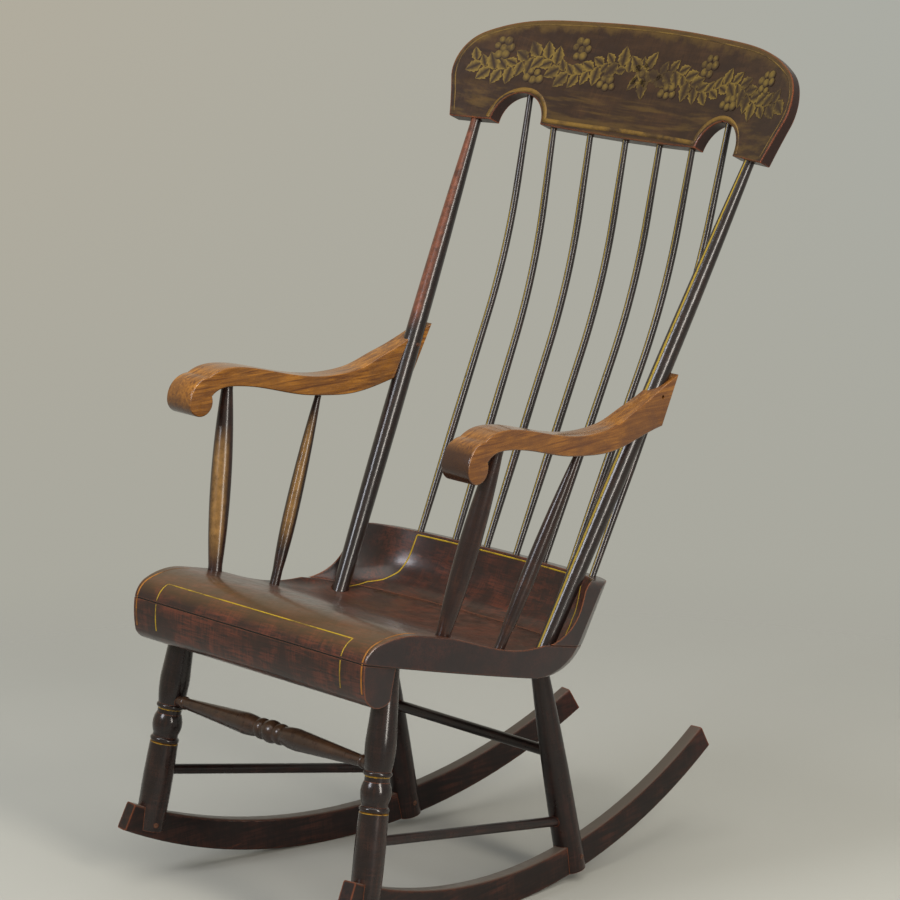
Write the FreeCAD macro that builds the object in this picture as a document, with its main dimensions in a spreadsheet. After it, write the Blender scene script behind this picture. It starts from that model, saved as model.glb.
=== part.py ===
"""Boston rocking chair: an arrow-straight turned frame, a scooped and rolled plank seat, a bent
spindle back under a deep crest board, scrolled arms and two slim rockers let into slotted legs.

Frame: millimetres, +Z up, the floor at Z = 0, the chair's mirror plane at X = 0, its front
towards -Y, and Y = 0 halfway between the foremost and the rearmost point. The driving sizes are
the rows of SIZES; they go into the document's spreadsheet, and everything else follows them.
"""
import FreeCAD, Part
import math
import os

import Sketcher
from FreeCAD import Placement, Rotation, Vector

SIDES = (("left", -1), ("right", 1))
UP = Vector(0, 0, 1)

# Each row is a size's name, its value in millimetres or degrees, and what it is.
SIZES = (
    # the seat: a plank tilted back, with a roll glued under its front and a riser on its rear
    ("seat_datum_y", -305.8, "where the plank's flat underside meets the front roll"),
    ("seat_datum_height", 371.0, "height of that line above the floor"),
    ("seat_tilt", 13.5, "how far the plank falls to the back, in degrees"),
    ("plank_thickness", 44.0, "thickness of the plank before it is scooped"),
    ("plank_nose", 49.0, "how far the plank's rounded nose stands in front of the datum"),
    ("nose_flat_start", 30.0, "behind the datum, where the nose's curve meets the flat top"),
    ("nose_lower_radius", 30.0, "tight lower arc of the nose"),
    ("seat_front_half_width", 230.0, "half the width at the nose"),
    ("seat_back_half_width", 202.0, "half the width where the side arcs run out behind the riser"),
    ("seat_plan_length", 440.0, "from the datum to the end of the side arcs"),
    ("seat_side_radius", 1070.0, "radius of the bulged sides in plan"),
    ("scoop_start", 78.0, "behind the datum, where the scoop in the top begins"),
    ("scoop_front_slope", 3.5, "slope at which the scoop falls away there, in degrees"),
    ("scoop_radius", 63.0, "radius of the riser's hollow front"),
    ("scoop_foot_slope", 20.6, "slope of the hollow where it leaves the plank, in degrees"),
    ("riser_front_slope", 85.0, "slope of the riser's upper front face, in degrees"),
    ("riser_back_slope", 74.0, "slope of the riser's back face, in degrees"),
    ("riser_height", 86.0, "height of the riser above the plank"),
    ("riser_top_thickness", 27.0, "thickness of the riser at its top"),
    ("riser_corner_radius", 14.0, "rounding of the riser's upper corners"),
    ("riser_top_along", 416.0, "behind the datum, the riser's top rear edge on the mirror plane"),
    ("rear_roll_radius", 71.0, "radius of the rolled underside of the plank's rear"),
    ("rear_roll_slope", 7.5, "slope at which that roll leaves the flat underside, in degrees"),
    ("rear_bow_radius", 800.0, "bow of the seat's rear in plan"),
    ("rear_corner_drop", 34.0, "how far the rear corners turn in front of that bow"),
    ("rear_corner_half_width", 222.0, "half-width at which that drop is measured"),
    ("roll_depth", 43.0, "how far the front roll hangs below the plank before it rounds under"),
    ("roll_front_setback", 38.0, "in front of the datum, the roll's lower front corner"),
    ("roll_front_radius", 130.0, "slow curve of the roll's face"),
    ("roll_bottom_radius", 27.0, "round underside of the roll"),
    ("roll_back_along", 4.0, "behind the datum, the roll's flat back"),
    ("roll_half_width", 230.0, "half the length of the roll"),
    # the two long posts of the back
    ("post_foot_x", 203.0, "half the spacing of the posts at the seat"),
    ("post_foot_along", 285.0, "behind the datum, the post's foot on the plank"),
    ("post_lean", 26.6, "backward lean of the posts, in degrees"),
    ("post_splay", 5.6, "outward splay of the posts, in degrees"),
    ("back_length", 674.0, "along a post, from the plank to the crest"),
    ("post_foot_diameter", 22.0, "post at the seat"),
    ("post_waist_diameter", 25.5, "post where the arm meets it"),
    ("post_top_diameter", 14.5, "post at the crest"),
    # the crest board
    ("crest_lean", 26.0, "backward lean of the crest, in degrees"),
    ("crest_height", 157.0, "height of the crest up its own slope"),
    ("crest_half_width", 320.0, "half the width over the ears"),
    ("crest_foot_half_width", 298.0, "half the width at the lower corners"),
    ("crest_bottom_thickness", 20.0, "thickness at the lower edge"),
    ("crest_top_thickness", 12.5, "thickness at the upper edge"),
    ("crest_bow_radius", 1100.0, "bow of the crest in plan"),
    ("notch_x", 190.0, "half the spacing of the round notches in the lower edge"),
    ("notch_radius", 42.0, "radius of the notches"),
    # the seven bent spindles
    ("spindle_foot_spacing", 56.2, "spacing of the spindles at the riser"),
    ("spindle_head_spacing", 66.5, "spacing of the inner spindles at the crest"),
    ("spindle_row_setback", 13.5, "in front of the riser's rear edge, the row of spindle holes"),
    ("spindle_foot_diameter", 9.0, "spindle where it leaves the riser"),
    ("spindle_swell_diameter", 11.5, "thickest part of the spindle"),
    ("spindle_swell_height", 150.0, "height of that swell above the riser"),
    ("spindle_bend_diameter", 10.0, "spindle through its bend"),
    ("spindle_top_diameter", 8.5, "spindle at the crest"),
    ("spindle_bend_share", 0.656, "share of the spindle's chord below its bend"),
    ("spindle_bend_offset", 29.0, "how far the bend's corner stands behind the chord"),
    ("spindle_bend_run", 98.0, "length of each tangent of the bend"),
    # the arms
    ("arm_up_post", 339.0, "up the post from the plank to the arm's reference point"),
    ("arm_front_x", 272.0, "half the spacing of the arms at the scroll"),
    ("arm_back_x", 241.5, "half the spacing of the arms at the post"),
    ("arm_reach", 375.5, "from the post forward to the scroll's front"),
    ("arm_scroll_radius", 19.0, "lower round of the scroll"),
    ("arm_nose_radius", 33.0, "upper round of the scroll"),
    ("arm_scroll_drop", 29.0, "below the reference point, the middle of the scroll"),
    ("arm_scroll_width", 50.0, "width of the arm at the scroll"),
    ("arm_waist_width", 41.0, "width of the arm at its middle"),
    ("arm_back_width", 27.0, "width of the arm at the post"),
    ("arm_edge_radius", 2.0, "rounding of the arm's long edges"),
    # the turned supports under the arms
    ("stump_foot_x", 226.0, "half the spacing of the arm stumps at the seat"),
    ("stump_foot_along", 77.0, "behind the datum, the foot of the stump"),
    ("stump_top_setback", 79.0, "behind the scroll's front, the top of the stump"),
    ("stump_foot_diameter", 19.0, "stump at the seat"),
    ("stump_swell_diameter", 28.0, "thickest part of the stump"),
    ("stump_top_diameter", 16.0, "stump under the arm"),
    ("stump_swell_share", 0.45, "share of the stump below its thickest part"),
    ("arm_spindle_foot_x", 224.0, "half the spacing of the arm spindles at the seat"),
    ("arm_spindle_foot_along", 184.0, "behind the datum, the foot of the arm spindle"),
    ("arm_spindle_top_share", 0.393, "share of the arm's reach in front of the post, its top"),
    ("arm_spindle_foot_diameter", 13.5, "arm spindle at the seat"),
    ("arm_spindle_swell_diameter", 20.0, "thickest part of the arm spindle"),
    ("arm_spindle_top_diameter", 9.0, "arm spindle under the arm"),
    ("arm_spindle_swell_share", 0.32, "share of the arm spindle below its thickest part"),
    # the rockers
    ("rocker_front_radius", 720.0, "radius of the rolling edge in front of its resting place"),
    ("rocker_back_radius", 832.0, "radius of the rolling edge behind its resting place"),
    ("rocker_contact_y", -74.3, "where the rocker rests on the floor, under the chair's balance"),
    ("rocker_contact_x", 182.0, "half the spacing of the rockers at that place"),
    ("rocker_toe", 7.4, "how far the rockers open to the front, in degrees"),
    ("rocker_thickness", 20.0, "thickness of the rocker board"),
    ("rocker_front_angle", 26.0, "arc from the contact to the front end, in degrees"),
    ("rocker_back_angle", 31.0, "arc from the contact to the back end, in degrees"),
    ("rocker_front_height", 37.0, "height of the board at its front end"),
    ("rocker_middle_height", 42.0, "height of the board over the contact"),
    ("rocker_back_height", 35.5, "height of the board at its back end"),
    ("rocker_edge_radius", 3.0, "worn rounding of the rocker's edges"),
    # the legs
    ("front_leg_top_x", 200.0, "half the spacing of the front legs at the seat"),
    ("front_leg_top_along", 19.0, "behind the datum, the top of the front leg"),
    ("front_leg_station", -273.4, "along the rocker from the contact, the front foot"),
    ("front_foot_lift", 12.0, "foot of the front leg above the rocker's rolling edge"),
    ("leg_top_diameter", 28.0, "front leg at the seat"),
    ("leg_vase_diameter", 39.5, "widest part of the front leg's vase"),
    ("leg_collar_diameter", 37.0, "collar under the vase"),
    ("leg_collar_drop", 141.0, "from the seat to the collar"),
    ("leg_collar_height", 6.0, "height of the collar"),
    ("leg_vase_radius", 170.0, "round of the vase about its widest part"),
    ("leg_vase_round", 37.0, "length of that round"),
    ("leg_neck_diameter", 32.0, "neck over the ball"),
    ("leg_neck_length", 7.5, "length of the neck"),
    ("leg_ball_diameter", 39.5, "ball of the front leg"),
    ("leg_ball_height", 27.0, "height of the ball"),
    ("leg_groove_diameter", 33.5, "groove under the ball"),
    ("leg_groove_width", 4.0, "width of the groove"),
    ("leg_ring_diameter", 38.5, "ring under the groove"),
    ("leg_ring_height", 8.0, "height of that ring"),
    ("leg_shaft_diameter", 40.0, "thickest part of the lower shaft"),
    ("leg_foot_diameter", 37.5, "front leg at its foot"),
    ("rear_leg_top_x", 157.0, "half the spacing of the rear legs at the seat"),
    ("rear_leg_top_along", 326.0, "behind the datum, the top of the rear leg"),
    ("rear_leg_station", 140.0, "along the rocker from the contact, the rear foot"),
    ("rear_foot_lift", 1.5, "foot of the rear leg above the rocker's rolling edge"),
    ("rear_leg_top_diameter", 24.0, "rear leg at the seat"),
    ("rear_leg_middle_diameter", 35.0, "rear leg at its middle"),
    ("rear_leg_foot_diameter", 38.0, "rear leg at its foot"),
    # the stretchers
    ("front_stretcher_height", 240.0, "front stretcher above the floor"),
    ("rear_stretcher_height", 178.0, "rear stretcher above the floor"),
    ("side_stretcher_front_height", 146.0, "side stretcher at the front leg, above the floor"),
    ("side_stretcher_back_height", 82.0, "side stretcher at the rear leg, above the floor"),
    ("rear_stretcher_diameter", 15.0, "rear stretcher"),
    ("side_stretcher_diameter", 13.5, "side stretchers"),
    ("front_stretcher_end_diameter", 15.0, "front stretcher at the legs"),
    ("front_stretcher_swell_diameter", 28.0, "front stretcher beside its beads"),
    ("front_stretcher_bead_diameter", 30.5, "middle bead of the front stretcher"),
    ("front_stretcher_bead_length", 20.0, "length of the middle bead"),
    ("front_stretcher_side_bead_length", 12.0, "length of the bead on each side of it"),
    ("front_stretcher_groove_diameter", 24.0, "grooves between the beads"),
    ("front_stretcher_groove_width", 2.5, "width of those grooves"),
    ("front_stretcher_swell_length", 34.0, "length of the swelling beside the beads"),
    ("front_stretcher_collar_inset", 28.0, "from the stretcher's end to its small collar"),
    ("front_stretcher_collar_length", 7.0, "length of that collar"),
    ("front_stretcher_collar_rise", 1.6, "how far the collar stands out"),
    # joints and pins
    ("socket_clearance", 0.12, "gap all round a tenon in its hole, and at a glued seat"),
    ("seat_socket_depth", 26.0, "depth of the holes in the plank"),
    ("straight_neck", 8.0, "straight part of a turning outside its hole"),
    ("riser_socket_depth", 30.0, "depth of the spindle holes in the riser"),
    ("crest_socket_depth", 24.0, "depth of the post holes in the crest"),
    ("crest_spindle_socket_depth", 15.0, "depth of the spindle holes in the crest"),
    ("crest_spindle_setback", 2.0, "behind the middle of the crest, the spindle holes"),
    ("arm_socket_depth", 14.0, "depth of the holes in the arms"),
    ("stretcher_socket_depth", 15.0, "depth of the holes in the legs"),
    ("rocker_peg_diameter", 6.0, "pegs through the slotted feet and the rockers"),
    ("small_peg_diameter", 4.5, "pegs through the arms and the crest into the posts"),
    ("arm_peg_length", 30.0, "length of an arm's peg"),
    ("arm_peg_rise", 7.0, "arm's peg above the arm's reference point, up the post"),
    ("crest_peg_length", 15.0, "length of a crest's peg"),
    ("crest_peg_height", 12.0, "crest's pegs above its lower edge"),
)

document = FreeCAD.newDocument("BostonRocker")
sheet = document.addObject("Spreadsheet::Sheet", "Sizes")
for row, (alias, amount, note) in enumerate(SIZES, start=1):
    sheet.set(f"A{row}", alias)
    sheet.set(f"B{row}", str(amount))
    sheet.set(f"C{row}", note)
    sheet.setAlias(f"B{row}", alias)
document.recompute()


class Dim:
    """A length or angle that knows both its value and the expression that ties it to the sheet."""

    def __init__(self, value, text):
        self.value = float(value)
        self.text = text

    def combine(self, sign, other, value, swapped=False):
        left, right = (expression_of(other), self.text) if swapped else (self.text, expression_of(other))
        return Dim(value, f"({left} {sign} {right})")

    def __add__(self, other):
        return self.combine("+", other, self.value + value_of(other))

    def __radd__(self, other):
        return self.combine("+", other, value_of(other) + self.value, swapped=True)

    def __sub__(self, other):
        return self.combine("-", other, self.value - value_of(other))

    def __rsub__(self, other):
        return self.combine("-", other, value_of(other) - self.value, swapped=True)

    def __mul__(self, other):
        return self.combine("*", other, self.value * value_of(other))

    def __rmul__(self, other):
        return self.combine("*", other, value_of(other) * self.value, swapped=True)

    def __truediv__(self, other):
        return self.combine("/", other, self.value / value_of(other))

    def __neg__(self):
        return Dim(-self.value, f"(0 - {self.text})")


class SizeTable:
    """The sheet's sizes by name, such as size.post_lean."""

    def __getattr__(self, alias):
        return Dim(sheet.get(alias), f"Sizes.{alias}")


def value_of(amount):
    return amount.value if isinstance(amount, Dim) else float(amount)


def expression_of(amount):
    return amount.text if isinstance(amount, Dim) else repr(float(amount))


def trig(name, function, angle):
    result = function(math.radians(value_of(angle)))
    return Dim(result, f"{name}({expression_of(angle)})")


def sine(angle):
    return trig("sin", math.sin, angle)


def cosine(angle):
    return trig("cos", math.cos, angle)


def tangent(angle):
    return trig("tan", math.tan, angle)


def bind(thing, prop, amount):
    """Set a property, and tie it to the sheet when the amount comes from there."""
    setattr(thing, prop, value_of(amount))
    if isinstance(amount, Dim):
        thing.setExpression(prop, amount.text)


size = SizeTable()
nodes = []
SEATED = []  # the round ends that stand in the plank: (end of the tenon, its mouth, diameter)


def finished(thing, label):
    """Name a finished sub-part and put it on the list of those to export."""
    thing.Label = label
    nodes.append(thing)
    return thing


# ---------------------------------------------------------------- drawing and turning helpers


def origin_plane(body, role):
    return next(plane for plane in body.Origin.OriginFeatures if plane.Role == role)


def constrain(sketch, kind, reference, amount):
    index = sketch.addConstraint(Sketcher.Constraint(kind, *reference, value_of(amount)))
    if isinstance(amount, Dim):
        sketch.setExpression(f"Constraints[{index}]", amount.text)


def arc_centre(start, end, radius):
    """Centre of the arc from start to end, on its left for a positive radius."""
    chord = end - start
    middle = (start + end) * 0.5
    reach = math.sqrt(radius * radius - chord.Length * chord.Length / 4)
    left = Vector(-chord.y, chord.x, 0).normalize()
    return middle + left * math.copysign(reach, radius)


def outline_sketch(body, role, corners):
    """Draw a closed outline on one of the body's planes.

    A corner is (x, y), or (x, y, radius) when an arc runs from it to the next one: a positive
    radius turns left, a negative one turns right.
    """
    sketch = body.newObject("Sketcher::SketchObject", "Outline")
    sketch.AttachmentSupport = (origin_plane(body, role), "")
    sketch.MapMode = "FlatFace"
    points = [Vector(value_of(corner[0]), value_of(corner[1]), 0) for corner in corners]
    ends = []
    for number, corner in enumerate(corners):
        start, end = points[number], points[(number + 1) % len(points)]
        if len(corner) == 2:
            sketch.addGeometry(Part.LineSegment(start, end))
            ends.append((1, 2))
            continue
        radius = value_of(corner[2])
        centre = arc_centre(start, end, radius)
        first, last = (start, end) if radius > 0 else (end, start)
        angles = [math.atan2(point.y - centre.y, point.x - centre.x) for point in (first, last)]
        if angles[1] < angles[0]:
            angles[1] += 2 * math.pi
        circle = Part.Circle(centre, UP, abs(radius))
        sketch.addGeometry(Part.ArcOfCircle(circle, angles[0], angles[1]))
        ends.append((1, 2) if radius > 0 else (2, 1))
    for number, corner in enumerate(corners):
        following = (number + 1) % len(corners)
        sketch.addConstraint(
            Sketcher.Constraint("Coincident", number, ends[number][1], following, ends[following][0])
        )
        for kind, axis, amount in (("DistanceX", -2, corner[0]), ("DistanceY", -1, corner[1])):
            if value_of(amount) == 0:
                sketch.addConstraint(Sketcher.Constraint("PointOnObject", number, ends[number][0], axis))
            else:
                constrain(sketch, kind, (-1, 1, number, ends[number][0]), amount)
        if len(corner) == 3:
            radius = corner[2] if value_of(corner[2]) > 0 else -corner[2]
            constrain(sketch, "Radius", (number,), radius)
    return sketch


def along(start, end):
    """Placement that stands a piece on start with its own Z axis pointing to end."""
    return Placement(start, Rotation(UP, end - start))


def turned(label, start, end, stations):
    """Turn a piece between two points.

    A station is (height, diameter), or (height, diameter, radius) when a round runs from it to
    the next one: a positive radius swells, a negative one is hollow.
    """
    body = document.addObject("PartDesign::Body", "Turning")
    rim = [(station[1] / 2, station[0], *station[2:]) for station in stations]
    sketch = outline_sketch(body, "XZ_Plane", [(0, rim[0][1]), *rim, (0, rim[-1][1])])
    lathe = body.newObject("PartDesign::Revolution", "Lathe")
    lathe.Profile = sketch
    lathe.ReferenceAxis = (sketch, ["V_Axis"])
    lathe.Angle = 360
    # the round surface's seam is turned away from the holes, which run across or along the chair
    body.Placement = along(start, end).multiply(Placement(Vector(), Rotation(UP, 45)))
    body.Label = label
    return body


def board(label, role, corners, thickness, placement):
    """Saw a board from an outline, half its thickness on each side of the drawing plane."""
    body = document.addObject("PartDesign::Body", "Board")
    sketch = outline_sketch(body, role, corners)
    pad = body.newObject("PartDesign::Pad", "Thickness")
    pad.Profile = sketch
    bind(pad, "Length", thickness)
    pad.Midplane = True
    body.Placement = placement
    body.Label = label
    return body


def rod(start, end, diameter, end_diameter=None):
    """A straight rod or, with a second diameter, a taper, used as a piece or as its hole."""
    length = (end - start).Length
    if end_diameter is None:
        piece = document.addObject("Part::Cylinder", "Rod")
        bind(piece, "Radius", diameter / 2)
    else:
        piece = document.addObject("Part::Cone", "Taper")
        bind(piece, "Radius1", diameter / 2)
        bind(piece, "Radius2", end_diameter / 2)
    piece.Height = length
    piece.Placement = along(start, end)
    return piece


def cut(base, tools):
    """Cut with one tool after the other."""
    for tool in tools:
        result = document.addObject("Part::Cut", "Cut")
        result.Base = base
        result.Tool = tool
        base = result
    return base


def common(first, second):
    result = document.addObject("Part::MultiCommon", "Common")
    result.Shapes = [first, second]
    return result


def fuse(pieces):
    result = document.addObject("Part::MultiFuse", "Fuse")
    result.Shapes = pieces
    return result


def rounded(base, radius, chosen):
    """Round the edges of a shape for which chosen(edge) holds."""
    document.recompute()
    rounding = document.addObject("Part::Fillet", "Rounding")
    rounding.Base = base
    rounding.Edges = [
        (number, radius.value, radius.value)
        for number, edge in enumerate(base.Shape.Edges, start=1) if chosen(edge)
    ]
    return rounding


def mirrored(thing, label):
    """The same piece for the chair's other side."""
    result = document.addObject("Part::Mirroring", "Mirror")
    result.Source = thing
    result.Normal = Vector(1, 0, 0)
    return finished(result, label)


def plain(shape, placement=None):
    """Keep a shape made with Part's own functions as an object of the document."""
    feature = document.addObject("Part::Feature", "Carving")
    feature.Shape = shape
    if placement is not None:
        feature.Placement = placement
    return feature


def carving(rows, sweep, placement):
    """A cutter with one carved face: a smooth surface through rows of points, swept one way."""
    surface = Part.BSplineSurface()
    surface.interpolate(rows)
    return plain(surface.toShape().extrude(sweep), placement)


# ---------------------------------------------------------------- where things are

clearance = size.socket_clearance


def seat_point(x, back, above):
    """A point in the seat's own tilted frame: across, behind the datum, above the underside."""
    across, back, above = value_of(x), value_of(back), value_of(above)
    fall, rise = sine(size.seat_tilt).value, cosine(size.seat_tilt).value
    return Vector(
        across,
        size.seat_datum_y.value + back * rise + above * fall,
        size.seat_datum_height.value - back * fall + above * rise,
    )


seat_frame = Placement(seat_point(0, 0, 0), Rotation(Vector(1, 0, 0), -size.seat_tilt.value))


def post_direction(side):
    splay, lean = tangent(size.post_splay).value, tangent(size.post_lean).value
    return Vector(side * splay, lean, 1).normalize()


def post_point(side, up):
    """A point on a post's axis, measured up from the plank."""
    foot = seat_point(side * size.post_foot_x, size.post_foot_along, size.plank_thickness)
    return foot + post_direction(side) * value_of(up)


def crest_bow(x):
    """How far the bowed crest stands in front of its middle, at a distance x from it."""
    radius = size.crest_bow_radius.value
    return radius - math.sqrt(radius * radius - x * x)


post_end = post_point(1, size.back_length)
crest_foot = Vector(0, post_end.y + crest_bow(post_end.x), post_end.z)


def crest_point(x, up):
    """A point in the middle of the crest's thickness, measured up its slope."""
    x, up = value_of(x), value_of(up)
    lean = size.crest_lean
    behind = up * sine(lean).value - crest_bow(x)
    return crest_foot + Vector(x, behind, up * cosine(lean).value)


def arm_point(side, forward, above):
    """A point of the arm's own profile, forward of and above its reference point on the post."""
    reference = post_point(side, size.arm_up_post)
    share = value_of(forward) / size.arm_reach.value
    spread = size.arm_back_x.value + (size.arm_front_x - size.arm_back_x).value * share
    return Vector(side * spread, reference.y - value_of(forward), reference.z + value_of(above))


def rocker_placement(side):
    spot = Vector(side * size.rocker_contact_x.value, size.rocker_contact_y.value, 0)
    return Placement(spot, Rotation(UP, side * size.rocker_toe.value))


def rocker_point(side, station, lift):
    """A point in the rocker's middle plane, above its rolling edge at a station along it."""
    reach = value_of(station)
    radius = size.rocker_front_radius.value if reach < 0 else size.rocker_back_radius.value
    height = radius - math.sqrt(radius * radius - reach * reach) + value_of(lift)
    return rocker_placement(side).multVec(Vector(0, reach, height))


def leg_ends(side, which):
    """Top at the plank's underside and foot beside the rocker."""
    if which == "front":
        top = seat_point(side * size.front_leg_top_x, size.front_leg_top_along, 0)
        return top, rocker_point(side, size.front_leg_station, size.front_foot_lift)
    top = seat_point(side * size.rear_leg_top_x, size.rear_leg_top_along, 0)
    return top, rocker_point(side, size.rear_leg_station, size.rear_foot_lift)


def at_height(ends, height):
    """The point of a leg's axis at a height above the floor."""
    top, foot = ends
    share = (top.z - value_of(height)) / (top.z - foot.z)
    return top + (foot - top) * share


def beyond(start, end, distance):
    """The point that lies past end on the line from start."""
    return end + (end - start).normalize() * value_of(distance)


# ---------------------------------------------------------------- rockers, legs and stretchers


def rocker_board(label, side, grow=0.0):
    """The rocker's board; with a growth it is the cutter for the slots that straddle it."""
    corners = []
    for angle, radius, height in (
        (-size.rocker_front_angle, size.rocker_front_radius, size.rocker_front_height),
        (size.rocker_back_angle, size.rocker_back_radius, size.rocker_back_height),
    ):
        inner = radius - height
        lower = (radius * sine(angle), radius - radius * cosine(angle))
        corners.append((lower, (inner * sine(angle), radius - inner * cosine(angle) + grow), radius))
    (front, front_top, front_radius), (back, back_top, back_radius) = corners
    crown = Vector(0, value_of(size.rocker_middle_height + grow), 0)
    tops = [Vector(value_of(top[0]), value_of(top[1]), 0) for top in (front_top, back_top)]
    upper = Part.Arc(tops[0], crown, tops[1]).toShape().Curve
    outline = [(*front, front_radius), (0, 0, back_radius), back, (*back_top, -upper.Radius), front_top]
    return board(label, "YZ_Plane", outline, size.rocker_thickness + 2 * grow, rocker_placement(side))


def soften(body, radius, wanted):
    """Round the edges of a body's last feature that the test picks out."""
    document.recompute()
    last = body.Tip
    names = [f"Edge{number}" for number, edge in enumerate(last.Shape.Edges, start=1) if wanted(edge)]
    rounding = body.newObject("PartDesign::Fillet", "Rounding")
    rounding.Base = (last, names)
    bind(rounding, "Radius", radius)
    return body


# bulge of a turned taper beyond a straight one, as a share of the difference of its two diameters
FULL_SWELL = 0.25
SLIGHT_SWELL = 0.125


def swell_radius(length, rise):
    """Radius of the round that rises by so much over a length."""
    return (length * length / 4 + rise * rise) / (2 * rise)


def leg_blank(side, which):
    """The turned front or rear leg, before its slot and its holes."""
    top, foot = leg_ends(side, which)
    start = beyond(foot, top, size.seat_socket_depth)
    length = (foot - start).Length
    mouth = size.seat_socket_depth + size.straight_neck
    if which == "rear":
        rise = (size.rear_leg_middle_diameter - (size.rear_leg_top_diameter + size.rear_leg_foot_diameter) / 2) / 2
        body_round = swell_radius(length - mouth, rise)
        stations = [
            (0, size.rear_leg_top_diameter),
            (mouth, size.rear_leg_top_diameter, body_round),
            (length, size.rear_leg_foot_diameter),
        ]
        return turned(f"rear_leg_turning_{side}", start, foot, stations)
    collar_end = size.seat_socket_depth + size.leg_collar_drop
    collar_start = collar_end - size.leg_collar_height
    vase = collar_start - size.leg_vase_round
    ball_start = collar_end + size.leg_neck_length
    ball_end = ball_start + size.leg_ball_height
    ring_start = ball_end + size.leg_groove_width
    ring_end = ring_start + size.leg_ring_height
    ball_rise = (size.leg_ball_diameter - size.leg_groove_diameter) / 2
    ring_rise = (size.leg_ring_diameter - size.leg_groove_diameter) / 2
    collar_rise = (size.leg_collar_diameter - size.leg_groove_diameter) / 2
    shaft_rise = (size.leg_shaft_diameter - size.leg_foot_diameter) / 2
    stations = [
        (0, size.leg_top_diameter),
        (mouth, size.leg_top_diameter),
        (vase, size.leg_vase_diameter, size.leg_vase_radius),
        (collar_start, size.leg_groove_diameter, swell_radius(size.leg_collar_height, collar_rise)),
        (collar_end, size.leg_groove_diameter),
        (collar_end, size.leg_neck_diameter),
        (ball_start, size.leg_neck_diameter),
        (ball_start, size.leg_groove_diameter, swell_radius(size.leg_ball_height, ball_rise)),
        (ball_end, size.leg_groove_diameter),
        (ring_start, size.leg_groove_diameter, swell_radius(size.leg_ring_height, ring_rise)),
        (ring_end, size.leg_groove_diameter),
        (ring_end, size.leg_foot_diameter, swell_radius(length - ring_end, shaft_rise)),
        (length, size.leg_foot_diameter),
    ]
    return turned(f"front_leg_turning_{side}", start, foot, stations)


def hole(start, end, diameter):
    """The drilled hole for a round end that stops at end, entered from the side of start."""
    mouth = beyond(end, start, size.straight_neck)
    return rod(mouth, beyond(start, end, clearance), diameter + 2 * clearance)


def stretcher_ends(first, second):
    """Where a stretcher's ends lie on the line between the axes of its two legs."""
    reach = (size.stretcher_socket_depth - size.leg_foot_diameter / 2).value
    return beyond(second, first, reach), beyond(first, second, reach)


def front_stretcher_stations(length):
    """The beads in the middle, the swelling beside them and the plain ends, one half mirrored."""
    middle = length / 2
    bead = size.front_stretcher_bead_length / 2
    side_start = bead + size.front_stretcher_groove_width
    side_end = side_start + size.front_stretcher_side_bead_length
    body = side_end + size.front_stretcher_groove_width
    thick = size.front_stretcher_swell_diameter
    thin = size.front_stretcher_groove_diameter
    bead_round = swell_radius(2 * bead, (size.front_stretcher_bead_diameter - thin) / 2)
    side_length = size.front_stretcher_side_bead_length
    side_round = swell_radius(side_length, (thick - thin) / 2)
    taper = body + size.front_stretcher_swell_length
    collar = middle - size.front_stretcher_collar_inset
    collar_end = collar + size.front_stretcher_collar_length
    neck = size.front_stretcher_end_diameter
    collar_round = swell_radius(size.front_stretcher_collar_length, size.front_stretcher_collar_rise)
    swell_round = swell_radius(size.front_stretcher_swell_length, (thick - thin) / 3)
    right = [
        (side_start, thin, side_round),
        (side_end, thin),
        (body, thin, swell_round),
        (taper, thick),
        (collar, neck, collar_round),
        (collar_end, neck),
    ]
    stations = [(0, neck)]
    for number in range(len(right) - 1, -1, -1):
        rounds = right[number - 1][2:] if number else ()
        stations.append((middle - right[number][0], right[number][1], *rounds))
    stations.append((middle - bead, thin, bead_round))
    stations.append((middle + bead, thin))
    stations += [(middle + station[0], *station[1:]) for station in right]
    stations.append((length, neck))
    return stations


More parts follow.
